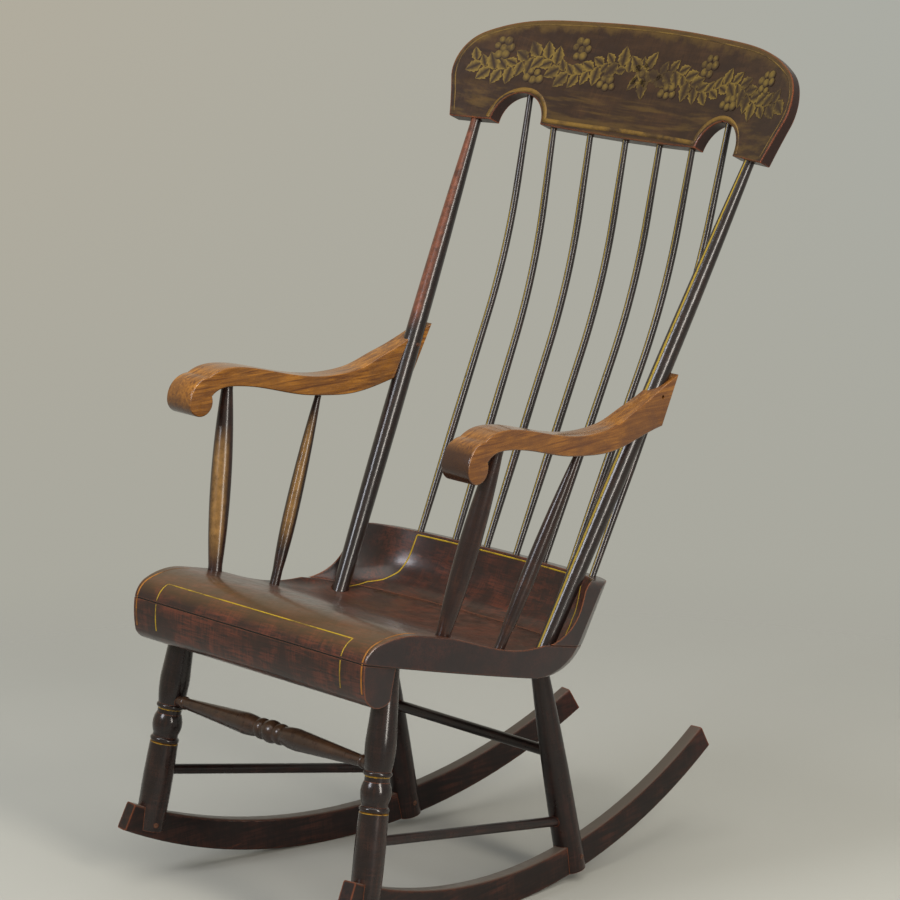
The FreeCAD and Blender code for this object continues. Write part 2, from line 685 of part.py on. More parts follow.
def build_undercarriage():
    """Rockers, legs, stretchers and the pegs of the feet; the tops of the legs end in the plank."""
    ends = {(side, which): leg_ends(side, which) for _, side in SIDES for which in ("front", "rear")}
    across = {
        "front": [at_height(ends[side, "front"], size.front_stretcher_height) for _, side in SIDES],
        "rear": [at_height(ends[side, "rear"], size.rear_stretcher_height) for _, side in SIDES],
    }
    start, end = stretcher_ends(*across["front"])
    length = Dim((end - start).Length, repr((end - start).Length))
    finished(turned("front_stretcher", start, end, front_stretcher_stations(length)), "front_stretcher")
    thickness = size.rear_stretcher_diameter
    finished(rod(*stretcher_ends(*across["rear"]), thickness), "rear_stretcher")
    pegs = []
    for name, side in SIDES:
        side_front = at_height(ends[side, "front"], size.side_stretcher_front_height)
        side_back = at_height(ends[side, "rear"], size.side_stretcher_back_height)
        side_ends = stretcher_ends(side_front, side_back)
        finished(rod(*side_ends, size.side_stretcher_diameter), f"{name}_side_stretcher")
        peg_holes = []
        for which, station in (("front", size.front_leg_station), ("rear", size.rear_leg_station)):
            middle = rocker_point(side, station, size.rocker_middle_height / 2)
            outward = rocker_placement(side).Rotation.multVec(Vector(1, 0, 0))
            reach = outward * (size.leg_foot_diameter.value / 2)
            pegs.append(rod(middle - reach, middle + reach, size.rocker_peg_diameter))
            peg_hole = rod(middle - reach * 2, middle + reach * 2, size.rocker_peg_diameter + 2 * clearance)
            peg_holes.append(peg_hole)
            joined = across[which][0 if side < 0 else 1]
            other = across[which][1 if side < 0 else 0]
            cross_end = stretcher_ends(other, joined)[1]
            cross_size = size.front_stretcher_end_diameter if which == "front" else thickness
            side_end = side_ends[0] if which == "front" else side_ends[1]
            side_far = side_ends[1] if which == "front" else side_ends[0]
            leg = cut(leg_blank(side, which), [
                rocker_board(f"{which}_slot_{name}", side, clearance),
                long_hole(other, cross_end, cross_size),
                long_hole(side_far, side_end, size.side_stretcher_diameter),
                peg_hole,
            ])
            finished(leg, f"{name}_{which}_leg")
            top, foot = ends[side, which]
            top_size = size.leg_top_diameter if which == "front" else size.rear_leg_top_diameter
            SEATED.append((beyond(foot, top, size.seat_socket_depth), top, top_size))
        blank = soften(
            rocker_board(f"rocker_blank_{name}", side), size.rocker_edge_radius,
            lambda edge: edge.Length > 2 * size.rocker_middle_height.value,
        )
        finished(cut(blank, peg_holes), f"{name}_rocker")
    finished(fuse(pegs), "rocker_pegs")


def long_hole(start, end, diameter):
    """A hole that ends just past end and comes in from a leg's width away."""
    mouth = end + (start - end).normalize() * size.leg_shaft_diameter.value
    return rod(mouth, beyond(start, end, clearance), diameter + 2 * clearance)


# ---------------------------------------------------------------- the seat

REACH_PAST = 60.0  # how far a cutter runs past the wood it cuts
LEAD_IN = 20.0  # how far a carved surface starts before the wood
GRID_STEP = 14.0  # spacing of the points that a carved surface runs through, along its section
GRID_COLUMNS = 21  # columns of such points across the seat


def rear_sweep(x):
    """How far the seat's rear line stands in front of its middle: a bow that turns in at the corners."""
    corner = (x / size.rear_corner_half_width.value) ** 8
    return x * x / (2 * size.rear_bow_radius.value) + size.rear_corner_drop.value * corner


def seat_columns():
    half = size.seat_front_half_width.value + size.socket_clearance.value + LEAD_IN
    return [half * (2 * number / (GRID_COLUMNS - 1) - 1) for number in range(GRID_COLUMNS)]


def section_walk(start, pieces):
    """Points at even steps along a section of straights (length, slope) and arcs (radius, from, to)."""
    points = []
    here = start
    for piece in pieces:
        if len(piece) == 2:
            length, slope = piece
            steps = max(1, round(length / GRID_STEP))
            stretch = [
                (length * number / steps * cosine(slope).value, length * number / steps * sine(slope).value)
                for number in range(steps + 1)
            ]
        else:
            radius, first, last = piece
            steps = max(2, round(radius * math.radians(last - first) / GRID_STEP))
            slopes = [first + (last - first) * number / steps for number in range(steps + 1)]
            stretch = [
                (radius * (sine(slope) - sine(first)).value, radius * (cosine(first) - cosine(slope)).value)
                for slope in slopes
            ]
        placed = [(here[0] + back, here[1] + rise) for back, rise in stretch]
        points += placed if not points else placed[1:]
        here = placed[-1]
    return points


def bowed_rows(section):
    """A seat section repeated across the seat, each time moved forward by the rear line's sweep."""
    return [
        [Vector(x, back - rear_sweep(x), rise) for back, rise in section]
        for x in seat_columns()
    ]


def riser_back_section():
    """The rear outline from below the plank, round the rolled edge and up the riser's back."""
    radius = size.rear_roll_radius.value
    low, high = size.rear_roll_slope.value, size.riser_back_slope.value
    roll_rise = radius * (cosine(low) - cosine(high)).value
    roll_run = radius * (sine(high) - sine(low)).value
    top = (size.plank_thickness + size.riser_height).value
    wall = (top - roll_rise) / sine(high).value
    start_back = size.riser_top_along.value - wall * cosine(high).value - roll_run
    lead = REACH_PAST
    start = (start_back - lead * cosine(low).value, -lead * sine(low).value)
    return section_walk(start, [(lead, low), (radius, low, high), (wall + LEAD_IN, high)])


def hollow_foot():
    """Where the riser's hollow front leaves the plank, on the mirror plane, and where its arc ends."""
    foot, face = size.scoop_foot_slope, size.riser_front_slope
    radius = size.scoop_radius.value
    rise = radius * (cosine(foot) - cosine(face)).value
    run = radius * (sine(face) - sine(foot)).value
    top_back = (size.riser_top_along - size.riser_top_thickness).value
    straight = size.riser_height.value - rise
    return top_back - straight / tangent(face).value - run, rise


def riser_front_section():
    back, _ = hollow_foot()
    foot, face = size.scoop_foot_slope.value, size.riser_front_slope.value
    lead = LEAD_IN
    start = (back - lead * cosine(foot).value, size.plank_thickness.value - lead * sine(foot).value)
    return section_walk(start, [(lead, foot), (size.scoop_radius.value, foot, face), (size.riser_height.value, face)])


def scoop_rows():
    """The saddle of the top: it falls away gently, and meets the riser's hollow at the hollow's slope."""
    back_middle, _ = hollow_foot()
    start = size.scoop_start.value
    fall, climb = -tangent(size.scoop_front_slope).value, tangent(size.scoop_foot_slope).value
    steps = round((back_middle - start) / GRID_STEP / 2)
    rows = []
    for x in seat_columns():
        length = back_middle - rear_sweep(x) - start
        row = []
        for number in range(-1, steps + 2):
            share = number / steps
            if share < 0:
                rise = fall * share
            elif share > 1:
                rise = climb * (share - 1)
            else:
                rise = fall * share * (1 - share) ** 2 + climb * share ** 2 * (share - 1)
            row.append(Vector(x, start + share * length, size.plank_thickness.value + rise * length))
        rows.append(row)
    return rows


def seat_plan(low, high, label):
    """A blank with the seat's outline in plan, between two levels above the underside."""
    body = document.addObject("PartDesign::Body", "Blank")
    front = -size.plank_nose
    sketch = outline_sketch(body, "XY_Plane", [
        (-size.seat_front_half_width, front),
        (size.seat_front_half_width, front, size.seat_side_radius),
        (size.seat_back_half_width, size.seat_plan_length),
        (-size.seat_back_half_width, size.seat_plan_length, size.seat_side_radius),
    ])
    sketch.AttachmentOffset = Placement(Vector(0, 0, value_of(low)), Rotation())
    if isinstance(low, Dim):
        sketch.setExpression("AttachmentOffset.Base.z", low.text)
    pad = body.newObject("PartDesign::Pad", "Thickness")
    pad.Profile = sketch
    bind(pad, "Length", high - low)
    body.Placement = seat_frame
    body.Label = label
    return body


def nose_profile():
    """Side outline of the plank: a tight arc and a slow one make its rolled nose."""
    nose, tight = size.plank_nose, size.nose_lower_radius
    thickness, flat = size.plank_thickness, size.nose_flat_start
    run = nose + flat - tight
    slow = (run * run + thickness * thickness - tight * tight) / (2 * thickness - 2 * tight)
    # the two arcs meet on the line through their centres
    rise = thickness - slow
    share = tight / (slow - tight)
    knee_back = tight - nose - share * run
    knee_up = -share * rise
    return [
        (-nose, 0),
        (size.seat_plan_length, 0),
        (size.seat_plan_length, thickness),
        (flat, thickness, slow),
        (knee_back, knee_up, tight),
    ]


def roll_profile():
    """Side outline of the front roll: it carries the nose's curve down and rounds back under."""
    return [
        (-size.plank_nose, 0, size.roll_front_radius),
        (-size.roll_front_setback, -size.roll_depth, size.roll_bottom_radius),
        (size.roll_back_along, -size.roll_depth),
        (size.roll_back_along, 0),
    ]


SPINDLES = range(1, 8)


def build_seat():
    behind = Vector(0, size.seat_plan_length.value, 0)
    width = 2 * size.seat_front_half_width + REACH_PAST
    plank = common(
        seat_plan(0, size.plank_thickness, "plank_plan"),
        board("plank_side", "YZ_Plane", nose_profile(), width, seat_frame),
    )
    rear_cutter = carving(bowed_rows(riser_back_section()), behind, seat_frame)
    scoop = carving(scoop_rows(), Vector(0, 0, REACH_PAST), seat_frame)
    holes = [hole(start, end, diameter) for end, start, diameter in SEATED]
    finished(cut(plank, [rear_cutter, scoop, *holes]), "seat_plank")

    roll_width = 2 * size.roll_half_width
    roll = board("roll", "YZ_Plane", roll_profile(), roll_width, seat_frame)
    finished(roll, "seat_front_roll")

    top = size.plank_thickness + size.riser_height
    riser = seat_plan(size.plank_thickness, top, "riser_plan")
    back_again = carving(bowed_rows(riser_back_section()), behind, seat_frame)
    hollow = carving(bowed_rows(riser_front_section()), -behind * 2, seat_frame)
    riser_holes = [hole(*spindle_foot(number)[::-1], size.spindle_foot_diameter) for number in SPINDLES]
    shaped = rounded(cut(riser, [back_again, hollow]), size.riser_corner_radius, is_riser_corner)
    finished(cut(shaped, riser_holes), "seat_back_riser")


def is_riser_corner(edge):
    """Whether an edge is the riser's upper corner at one end: level with its top, and front to back."""
    ends = [seat_frame.inverse().multVec(vertex.Point) for vertex in edge.Vertexes]
    top = size.plank_thickness + size.riser_height
    level = all(abs(end.z - top.value) < clearance.value for end in ends)
    return level and abs(ends[0].x - ends[-1].x) < abs(ends[0].y - ends[-1].y)


def spindle_foot(number):
    """The end of a spindle's tenon in the riser and the place where it leaves the riser's top."""
    spot, _, bend, _ = spindle_route(number)
    return beyond(bend, spot, size.riser_socket_depth), spot


def spindle_route(number):
    """Foot on the riser, spread of the bend's corner and head under the crest of one spindle."""
    place = number - (len(SPINDLES) + 1) / 2
    foot_x = place * size.spindle_foot_spacing.value
    outermost = abs(place) > len(SPINDLES) / 2 - 1
    head_x = math.copysign(size.notch_x.value, place) if outermost else place * size.spindle_head_spacing.value
    back = size.riser_top_along.value - rear_sweep(foot_x) - size.spindle_row_setback.value
    foot = seat_point(foot_x, back, size.plank_thickness + size.riser_height)
    rise = size.notch_radius.value if outermost else 0.0
    head = crest_point(head_x, rise) + Vector(0, size.crest_spindle_setback.value, 0)
    chord = head - foot
    behind = Vector(0, chord.z, -chord.y).normalize()
    corner = foot + chord * size.spindle_bend_share.value + behind * size.spindle_bend_offset.value
    return foot, chord, corner, head


# ---------------------------------------------------------------- the back

# One ear of the crest, from its concave lower edge round to the top, as shares of the crest's
# half-width and height.
EAR_FOOT = (0.962, 0.20)
EAR_CURVE = (
    (0.994, 0.382), (1.0, 0.529), (0.981, 0.656), (0.934, 0.771), (0.869, 0.841),
    (0.778, 0.904), (0.653, 0.952), (0.416, 0.981), (0.2, 0.9955),
)


def laid_flat(x, up):
    """A point of the bent crest where it lies while the board is still flat."""
    return Vector(x, up - crest_bow(x) * sine(size.crest_lean).value, 0)


def crest_outline():
    """Outline of the sawn crest: two round notches below, ears at the ends, a low arched top."""
    half, tall = size.crest_half_width.value, size.crest_height.value
    foot, notch, radius = size.crest_foot_half_width.value, size.notch_x.value, size.notch_radius.value
    ear = [(across * half, up * tall) for across, up in EAR_CURVE]
    edges = []
    for side in (1, -1):
        inner, crown, outer = [laid_flat(side * x, up) for x, up in (
            (notch - radius, 0), (notch, radius), (notch + radius, 0),
        )]
        corner = laid_flat(side * foot, 0)
        hollow = laid_flat(side * EAR_FOOT[0] * half, EAR_FOOT[1] * tall)
        start = laid_flat(side * ear[0][0], ear[0][1])
        edges += [
            Part.Arc(inner, crown, outer).toShape(),
            Part.LineSegment(outer, corner).toShape(),
            Part.Arc(corner, hollow, start).toShape(),
        ]
    across = [laid_flat(side * (notch - radius), 0) for side in (-1, 1)]
    edges.append(Part.LineSegment(*across).toShape())
    rim = [laid_flat(x, up) for x, up in ear] + [laid_flat(0, tall)]
    rim += [laid_flat(-x, up) for x, up in reversed(ear)]
    top = Part.BSplineCurve()
    top.interpolate(rim)
    edges.append(top.toShape())
    return Part.Face(Part.Wire(Part.__sortEdges__(edges)))


def crest_board():
    """The bent and tapered board: ruled between its bowed section low down and the one high up."""
    body = document.addObject("PartDesign::Body", "CrestBoard")
    half = size.crest_half_width + REACH_PAST
    bow = size.crest_bow_radius
    end_drop = bow.value - math.sqrt(bow.value ** 2 - half.value ** 2)
    rise = size.crest_height * cosine(size.crest_lean)
    lean = size.crest_height * sine(size.crest_lean)
    taper = size.crest_bottom_thickness - size.crest_top_thickness
    sections = []
    # one board's height below its foot, and one above its top
    for level in (-1, 2):
        thick = (size.crest_bottom_thickness - taper * level) / cosine(size.crest_lean)
        middle = lean * level - end_drop
        sketch = outline_sketch(body, "XY_Plane", [
            (half, middle + thick / 2, bow),
            (-half, middle + thick / 2),
            (-half, middle - thick / 2, -bow),
            (half, middle - thick / 2),
        ])
        sketch.AttachmentOffset = Placement(Vector(0, 0, (rise * level).value), Rotation())
        sketch.setExpression("AttachmentOffset.Base.z", (rise * level).text)
        sections.append(sketch)
    loft = body.newObject("PartDesign::AdditiveLoft", "Bend")
    loft.Profile = sections[0]
    loft.Sections = [sections[1]]
    loft.Ruled = True
    body.Placement = Placement(crest_foot, Rotation())
    return body


def post(side, grow=0.0):
    """A long post: swelled to the arm, then tapered to the crest, with a round end in each."""
    low = post_point(side, -size.seat_socket_depth)
    high = post_point(side, size.back_length + size.crest_socket_depth)
    start = size.seat_socket_depth
    waist = start + size.arm_up_post
    top = start + size.back_length
    rise = (size.post_waist_diameter - size.post_foot_diameter) * FULL_SWELL
    upper_rise = (size.post_waist_diameter - size.post_top_diameter) * SLIGHT_SWELL
    neck = top - size.straight_neck
    foot_size, waist_size, top_size = [
        diameter + 2 * grow
        for diameter in (size.post_foot_diameter, size.post_waist_diameter, size.post_top_diameter)
    ]
    stations = [
        (0, foot_size),
        (start + size.straight_neck, foot_size, swell_radius(size.arm_up_post, rise)),
        (waist, waist_size, swell_radius(size.back_length - size.arm_up_post, upper_rise)),
        (neck, top_size),
        (top + size.crest_socket_depth, top_size),
    ]
    return turned("post_turning", low, high, stations)


def spindle(number):
    """A bent spindle: swelled low down, round through its bend, tapered to the crest."""
    foot, chord, corner, head = spindle_route(number)
    low = beyond(corner, foot, size.riser_socket_depth)
    high = beyond(corner, head, size.crest_spindle_socket_depth)
    run = size.spindle_bend_run.value
    bend_start = corner + (foot - corner).normalize() * run
    bend_end = corner + (head - corner).normalize() * run
    rising, leaving = (corner - foot).normalize(), (head - corner).normalize()
    turn = rising.getAngle(leaving)
    radius = run / math.tan(turn / 2)
    swell = foot + rising * size.spindle_swell_height.value
    axis = rising.cross(leaving).normalize()
    centre = bend_start + axis.cross(rising) * radius
    bend = document.addObject("Part::Torus", "Bend")
    bend.Radius1 = radius
    bind(bend, "Radius2", size.spindle_bend_diameter / 2)
    bend.Angle1, bend.Angle2 = -180, 180
    bend.Angle3 = math.degrees(turn)
    outward = (bend_start - centre).normalize()
    bend.Placement = Placement(centre, Rotation(outward, axis.cross(outward), axis, "XZY"))
    neck = beyond(corner, foot, -size.straight_neck.value)
    head_neck = beyond(corner, head, -size.straight_neck.value)
    pieces = [
        rod(low, neck, size.spindle_foot_diameter),
        rod(neck, swell, size.spindle_foot_diameter, size.spindle_swell_diameter),
        rod(swell, bend_start, size.spindle_swell_diameter, size.spindle_bend_diameter),
        bend,
        rod(bend_end, head_neck, size.spindle_bend_diameter, size.spindle_top_diameter),
        rod(head_neck, high, size.spindle_top_diameter),
    ]
    return finished(fuse(pieces), f"spindle_{number}")


def crest_normal():
    return Vector(0, cosine(size.crest_lean).value, -sine(size.crest_lean).value)


def build_back():
    outline_frame = Placement(crest_foot, Rotation(Vector(1, 0, 0), 90 - size.crest_lean.value))
    depth = Vector(0, 0, size.crest_half_width.value)
    outline = plain(crest_outline().extrude(depth * 2), outline_frame.multiply(Placement(-depth, Rotation())))
    holes, pegs, post_cutters = [], [], []
    for _, side in SIDES:
        mouth = post_point(side, size.back_length)
        tenon_end = post_point(side, size.back_length + size.crest_socket_depth)
        holes.append(hole(mouth, tenon_end, size.post_top_diameter))
        SEATED.append((post_point(side, -size.seat_socket_depth), post_point(side, 0), size.post_foot_diameter))
        middle = post_point(side, size.back_length + size.crest_peg_height)
        back = middle + crest_normal() * (size.crest_bottom_thickness.value / 2)
        front = back - crest_normal() * size.crest_peg_length.value
        pegs.append(rod(front, back, size.small_peg_diameter))
        outside = back + crest_normal() * REACH_PAST
        holes.append(hole(outside, front, size.small_peg_diameter))
        if side < 0:
            post_cutters.append(hole(outside, front, size.small_peg_diameter))
    for number in SPINDLES:
        _, _, corner, head = spindle_route(number)
        tip = beyond(corner, head, size.crest_spindle_socket_depth)
        holes.append(hole(head, tip, size.spindle_top_diameter))
        spindle(number)
    finished(cut(common(crest_board(), outline), holes), "crest_rail")
    finished(fuse(pegs), "crest_pegs")
    post_cutters.append(rod(*arm_peg_ends(-1, REACH_PAST), size.small_peg_diameter + 2 * clearance))
    left = finished(cut(post(-1), post_cutters), "left_post")
    mirrored(left, "right_post")


# ---------------------------------------------------------------- the arms and their supports

# The arm's side profile: shares of its reach in front of the reference point on the post, and
# heights above it. The underside runs forward to the scroll, the top back again to the post.
ARM_UNDERSIDE = (
    (-0.007, -32.0), (0.092, -38.0), (0.183, -45.0), (0.29, -49.0), (0.396, -46.0), (0.503, -40.0),
    (0.596, -31.0), (0.716, -19.0), (0.786, -14.5), (0.862, -14.5),
)
ARM_TOP = (
    (0.848, 12.0), (0.796, 12.0), (0.716, 7.0), (0.630, -1.5), (0.510, -13.0), (0.409, -19.0),
    (0.316, -19.5), (0.228, -15.0), (0.153, -5.0), (0.063, 7.0), (-0.031, 22.0), (-0.092, 31.0),
)


def spline(points):
    curve = Part.BSplineCurve()
    curve.interpolate(points)
    return curve.toShape()


def arm_side_face():
    """The arm seen from the side, in its own frame: Y backwards and Z up from the reference point."""
    reach = size.arm_reach.value
    small, large = size.arm_scroll_radius.value, size.arm_nose_radius.value
    scroll = Vector(0, small - reach, -size.arm_scroll_drop.value)
    nose = Vector(0, large - reach, scroll.z)
    notch = scroll + Vector(0, small * cosine(20).value, small * sine(20).value)
    tip = Vector(0, -reach, scroll.z)
    below = scroll - Vector(0, 0, small)
    shoulder = nose + Vector(0, -large * sine(45).value, large * cosine(45).value)
    crown = nose + Vector(0, 0, large)
    under = [Vector(0, -share * reach, height) for share, height in ARM_UNDERSIDE]
    over = [Vector(0, -share * reach, height) for share, height in ARM_TOP]
    edges = [
        spline([*under, notch]),
        Part.Arc(notch, below, tip).toShape(),
        Part.Arc(tip, shoulder, crown).toShape(),
        spline([crown, *over]),
        Part.LineSegment(over[-1], under[0]).toShape(),
    ]
    return Part.Face(Part.Wire(edges))


def arm_plan():
    """The arm seen from above: widest at the scroll, narrow at the post."""
    body = document.addObject("PartDesign::Body", "ArmPlan")
    reach, past = size.arm_reach, REACH_PAST
    bulge = size.arm_waist_width / 2 - (size.arm_scroll_width + size.arm_back_width) / 4
    side_round = swell_radius(reach, bulge)
    slope = (size.arm_front_x - size.arm_back_x) / reach
    back_run = past * slope
    outer = size.arm_back_width / 2
    front_shift = size.arm_front_x - size.arm_back_x
    wide = size.arm_scroll_width / 2
    sketch = outline_sketch(body, "XY_Plane", [
        (outer, 0),
        (outer - back_run, past),
        (-outer - back_run, past),
        (-outer, 0, side_round),
        (front_shift - wide, -reach),
        (front_shift + wide, -reach, side_round),
    ])
    pad = body.newObject("PartDesign::Pad", "Height")
    pad.Profile = sketch
    bind(pad, "Length", 4 * size.arm_scroll_width)
    pad.Midplane = True
    body.Placement = Placement(arm_point(1, 0, 0), Rotation())
    return body


def arm_peg_ends(side, extra=0.0):
    """The ends of the peg that holds an arm to its post, driven in from outside."""
    middle = post_point(side, size.arm_up_post + size.arm_peg_rise)
    half = Vector(side * size.arm_peg_length.value / 2, 0, 0)
    push = Vector(side * extra, 0, 0)
    return middle - half, middle + half + push


def arm_supports(side):
    """The stump and the arm spindle: (label, foot, head, foot size, swell size, head size, swell share)."""
    table = (
        ("front_stump", size.stump_foot_x, size.stump_foot_along,
         size.arm_reach - size.stump_top_setback, "stump"),
        ("arm_spindle", size.arm_spindle_foot_x, size.arm_spindle_foot_along,
         size.arm_reach * size.arm_spindle_top_share, "arm_spindle"),
    )
    for label, foot_x, foot_along, top_reach, family in table:
        foot = seat_point(side * foot_x, foot_along, size.plank_thickness)
        head = arm_point(side, top_reach, arm_underside(top_reach))
        sizes = [getattr(size, f"{family}_{place}_diameter") for place in ("foot", "swell", "top")]
        yield label, foot, head, sizes, getattr(size, f"{family}_swell_share")


def arm_underside(forward):
    """Height of the arm's underside in front of its reference point."""
    share = value_of(forward) / size.arm_reach.value
    for (near, low), (far, high) in zip(ARM_UNDERSIDE, ARM_UNDERSIDE[1:]):
        if near <= share <= far:
            return low + (high - low) * (share - near) / (far - near)
    raise ValueError("the arm has no underside there")


def arm_blank():
    """The right arm before its holes: its side profile, narrowed to its plan, with rounded edges."""
    width = Vector(4 * size.arm_scroll_width.value, 0, 0)
    side_cut = arm_side_face().extrude(width)
    profile = plain(side_cut, Placement(arm_point(1, 0, 0) - width / 2, Rotation()))
    return rounded(common(profile, arm_plan()), size.arm_edge_radius, runs_lengthwise)


def runs_lengthwise(edge):
    """Whether an edge is a long one that runs along the arm rather than across it."""
    middle = (edge.FirstParameter + edge.LastParameter) / 2
    return edge.Length > size.arm_back_width.value and abs(edge.tangentAt(middle).x) < 0.5


def build_arms():
    holes, pegs = [], []
    for name, side in SIDES:
        for label, foot, head, sizes, swell_share in arm_supports(side):
            low = beyond(head, foot, size.seat_socket_depth)
            high = beyond(foot, head, size.arm_socket_depth)
            mouth = size.seat_socket_depth + size.straight_neck
            length = (high - low).Length
            neck = length - size.arm_socket_depth - size.straight_neck
            free = neck - mouth
            thin, thick, end = sizes
            lower_round = swell_radius(free * swell_share, (thick - thin) * SLIGHT_SWELL)
            upper_round = swell_radius(free * (1 - swell_share), (thick - end) * SLIGHT_SWELL)
            finished(turned(f"{name}_{label}", low, high, [
                (0, thin),
                (mouth, thin, lower_round),
                (mouth + free * swell_share, thick, upper_round),
                (neck, end),
                (length, end),
            ]), f"{name}_{label}")
            SEATED.append((low, foot, thin))
            if side > 0:
                holes.append(hole(head, high, end))
        pegs.append(rod(*arm_peg_ends(side), size.small_peg_diameter))
    peg_hole = rod(*arm_peg_ends(1, REACH_PAST), size.small_peg_diameter + 2 * clearance)
    arm = finished(cut(arm_blank(), [post(1, clearance), peg_hole, *holes]), "right_arm")
    mirrored(arm, "left_arm")
    finished(fuse(pegs), "arm_pegs")


build_undercarriage()
build_back()
build_arms()
build_seat()


def check_and_write():
    """Refuse a failed object or an invalid shape, then write one STEP file for each sub-part."""
    document.recompute()
    for thing in document.Objects:
        failed = {"Invalid", "Error"} & set(thing.State)
        if failed:
            raise RuntimeError(f"{thing.Name} ({thing.Label}) did not build: {thing.State}")
    os.makedirs("parts", exist_ok=True)
    for thing in nodes:
        if thing.Shape.isNull() or not thing.Shape.isValid():
            raise RuntimeError(f"{thing.Label} is not a valid solid")
        thing.Shape.exportStep(f"parts/{thing.Label}.step")
        print(f"{thing.Label}: {len(thing.Shape.Solids)} solid, {thing.Shape.Volume / 1000:.1f} cm3")


check_and_write()
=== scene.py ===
# %% [markdown]
# # A painted Boston rocker
#
# This file dresses a chair that is already built to size. The solids come in as a fixed frame,
# and each step below turns them into something that looks like a chair of about 1840: grained
# and striped paint over pine and maple, arms of bare wood, and a century of rubbing.

# %% Load the frame
import math

import bmesh
import bpy
from mathutils import Matrix, Vector


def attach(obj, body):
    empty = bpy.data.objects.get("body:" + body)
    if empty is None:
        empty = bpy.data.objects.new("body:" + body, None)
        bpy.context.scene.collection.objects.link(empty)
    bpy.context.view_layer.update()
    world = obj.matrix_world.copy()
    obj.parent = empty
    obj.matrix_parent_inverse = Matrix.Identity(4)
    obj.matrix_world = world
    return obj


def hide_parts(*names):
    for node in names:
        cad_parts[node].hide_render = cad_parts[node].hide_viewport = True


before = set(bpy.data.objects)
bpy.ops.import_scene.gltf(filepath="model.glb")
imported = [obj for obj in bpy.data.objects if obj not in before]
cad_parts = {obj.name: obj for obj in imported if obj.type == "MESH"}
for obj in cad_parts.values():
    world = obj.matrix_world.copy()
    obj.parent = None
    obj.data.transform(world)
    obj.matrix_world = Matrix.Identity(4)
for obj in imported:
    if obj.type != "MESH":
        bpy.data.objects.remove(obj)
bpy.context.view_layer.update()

# %% [markdown]
# ## Small helpers
#
# A colour is easiest to judge as the hex value that a screen shows, but a shader wants it
# linear, so one function turns it. Another gives each tree its `add`, which makes any node,
# sets its properties and feeds its inputs; that keeps every material and every Geometry Nodes
# tree short to read. A kind of node is named without the prefix of its tree, "SetPosition" for
# GeometryNodeSetPosition, and the common ones have names of their own. A RANGE is fed as (value,
# from low, from high, to low, to high), a MIX as its amount at 0 and its colours at 6 and 7.

# %% Colour, node and object helpers
MM = 0.001
MATH, VECTOR, RANGE = "ShaderNodeMath", "ShaderNodeVectorMath", "ShaderNodeMapRange"
NOISE, MIX, PLACE = "ShaderNodeTexNoise", "ShaderNodeMix", "ShaderNodeTexCoord"
SPLIT, COMBINE = "ShaderNodeSeparateXYZ", "ShaderNodeCombineXYZ"
RGBA, SMOOTH = {"data_type": "RGBA"}, {"interpolation_type": "SMOOTHSTEP"}


def colour(hex_code):
    """An sRGB hex value as linear red, green and blue, with alpha 1."""
    parts = [int(hex_code[place:place + 2], 16) / 255 for place in (1, 3, 5)]
    linear = [part / 12.92 if part <= 0.04045 else ((part + 0.055) / 1.055) ** 2.4 for part in parts]
    return (*linear, 1.0)


def adding_to(tree):
    """The function that adds a node to this tree."""
    prefix = tree.bl_idname.removesuffix("Tree")

    def add(kind, feeds=(), operation=None, **settings):
        """Add a node: settings are its properties, feeds the values or links of its inputs.

        Feeds are named or counted. A node stands for the first output it shows, and a list
        joins several into one input.
        """
        made = tree.nodes.new(kind if "Node" in kind else prefix + kind)
        if operation:
            made.operation = operation
        for name, value in settings.items():
            setattr(made, name, value)
        for name, value in feeds.items() if isinstance(feeds, dict) else enumerate(feeds):
            for source in value if isinstance(value, list) else [value]:
                if isinstance(source, bpy.types.Node):
                    source = next(socket for socket in source.outputs if socket.enabled)
                if isinstance(source, bpy.types.NodeSocket):
                    tree.links.new(source, made.inputs[name])
                else:
                    made.inputs[name].default_value = source
        return made
    return add


def emptied(made):
    """Clear the node tree of a new material or world; its `add`."""
    made.use_nodes = True
    made.node_tree.nodes.clear()
    return adding_to(made.node_tree)


def noise(vector, size, detail, roughness, distortion=0.0):
    """Feeds of a noise whose coarsest blotches are about this size."""
    return {"Vector": vector, "Scale": 1 / size, "Detail": detail, "Roughness": roughness,
            "Distortion": distortion}


def placed(name, data):
    """A new object, linked into the scene."""
    made = bpy.data.objects.new(name, data)
    bpy.context.scene.collection.objects.link(made)
    return made


# %% [markdown]
# ## Camera
#
# A long lens from the front right, a little above the arms. It stands about five metres away,
# so the chair keeps its true proportions.

# %% Camera
CAMERA_AZIMUTH, CAMERA_ELEVATION = 47.852, 12.5016
CAMERA_PLACE = (3.9985, -3.6229, 1.7603)
LENS_MM, SEES_AS_FAR_AS = 168.0, 100.0

lens = bpy.data.cameras.new("camera")
lens.lens = LENS_MM
lens.clip_end = SEES_AS_FAR_AS
camera = placed("camera", lens)
camera.location = CAMERA_PLACE
camera.rotation_euler = (math.radians(90 - CAMERA_ELEVATION), 0, math.radians(CAMERA_AZIMUTH))
bpy.context.scene.camera = camera
bpy.context.scene.view_settings.view_transform = "Standard"
print("camera:", LENS_MM, "mm lens at", CAMERA_PLACE)

# %% [markdown]
# ## Floor and backdrop
#
# A studio floor is a sheet of paper that curves up behind the subject. One large disc stands in
# for it: near the chair it is a matt floor that takes the shadow, and further out it fades into
# the pale backdrop, which the camera and every gloss see through Light Path while the chair
# itself is lit only by the lamps and a weak, even fill.

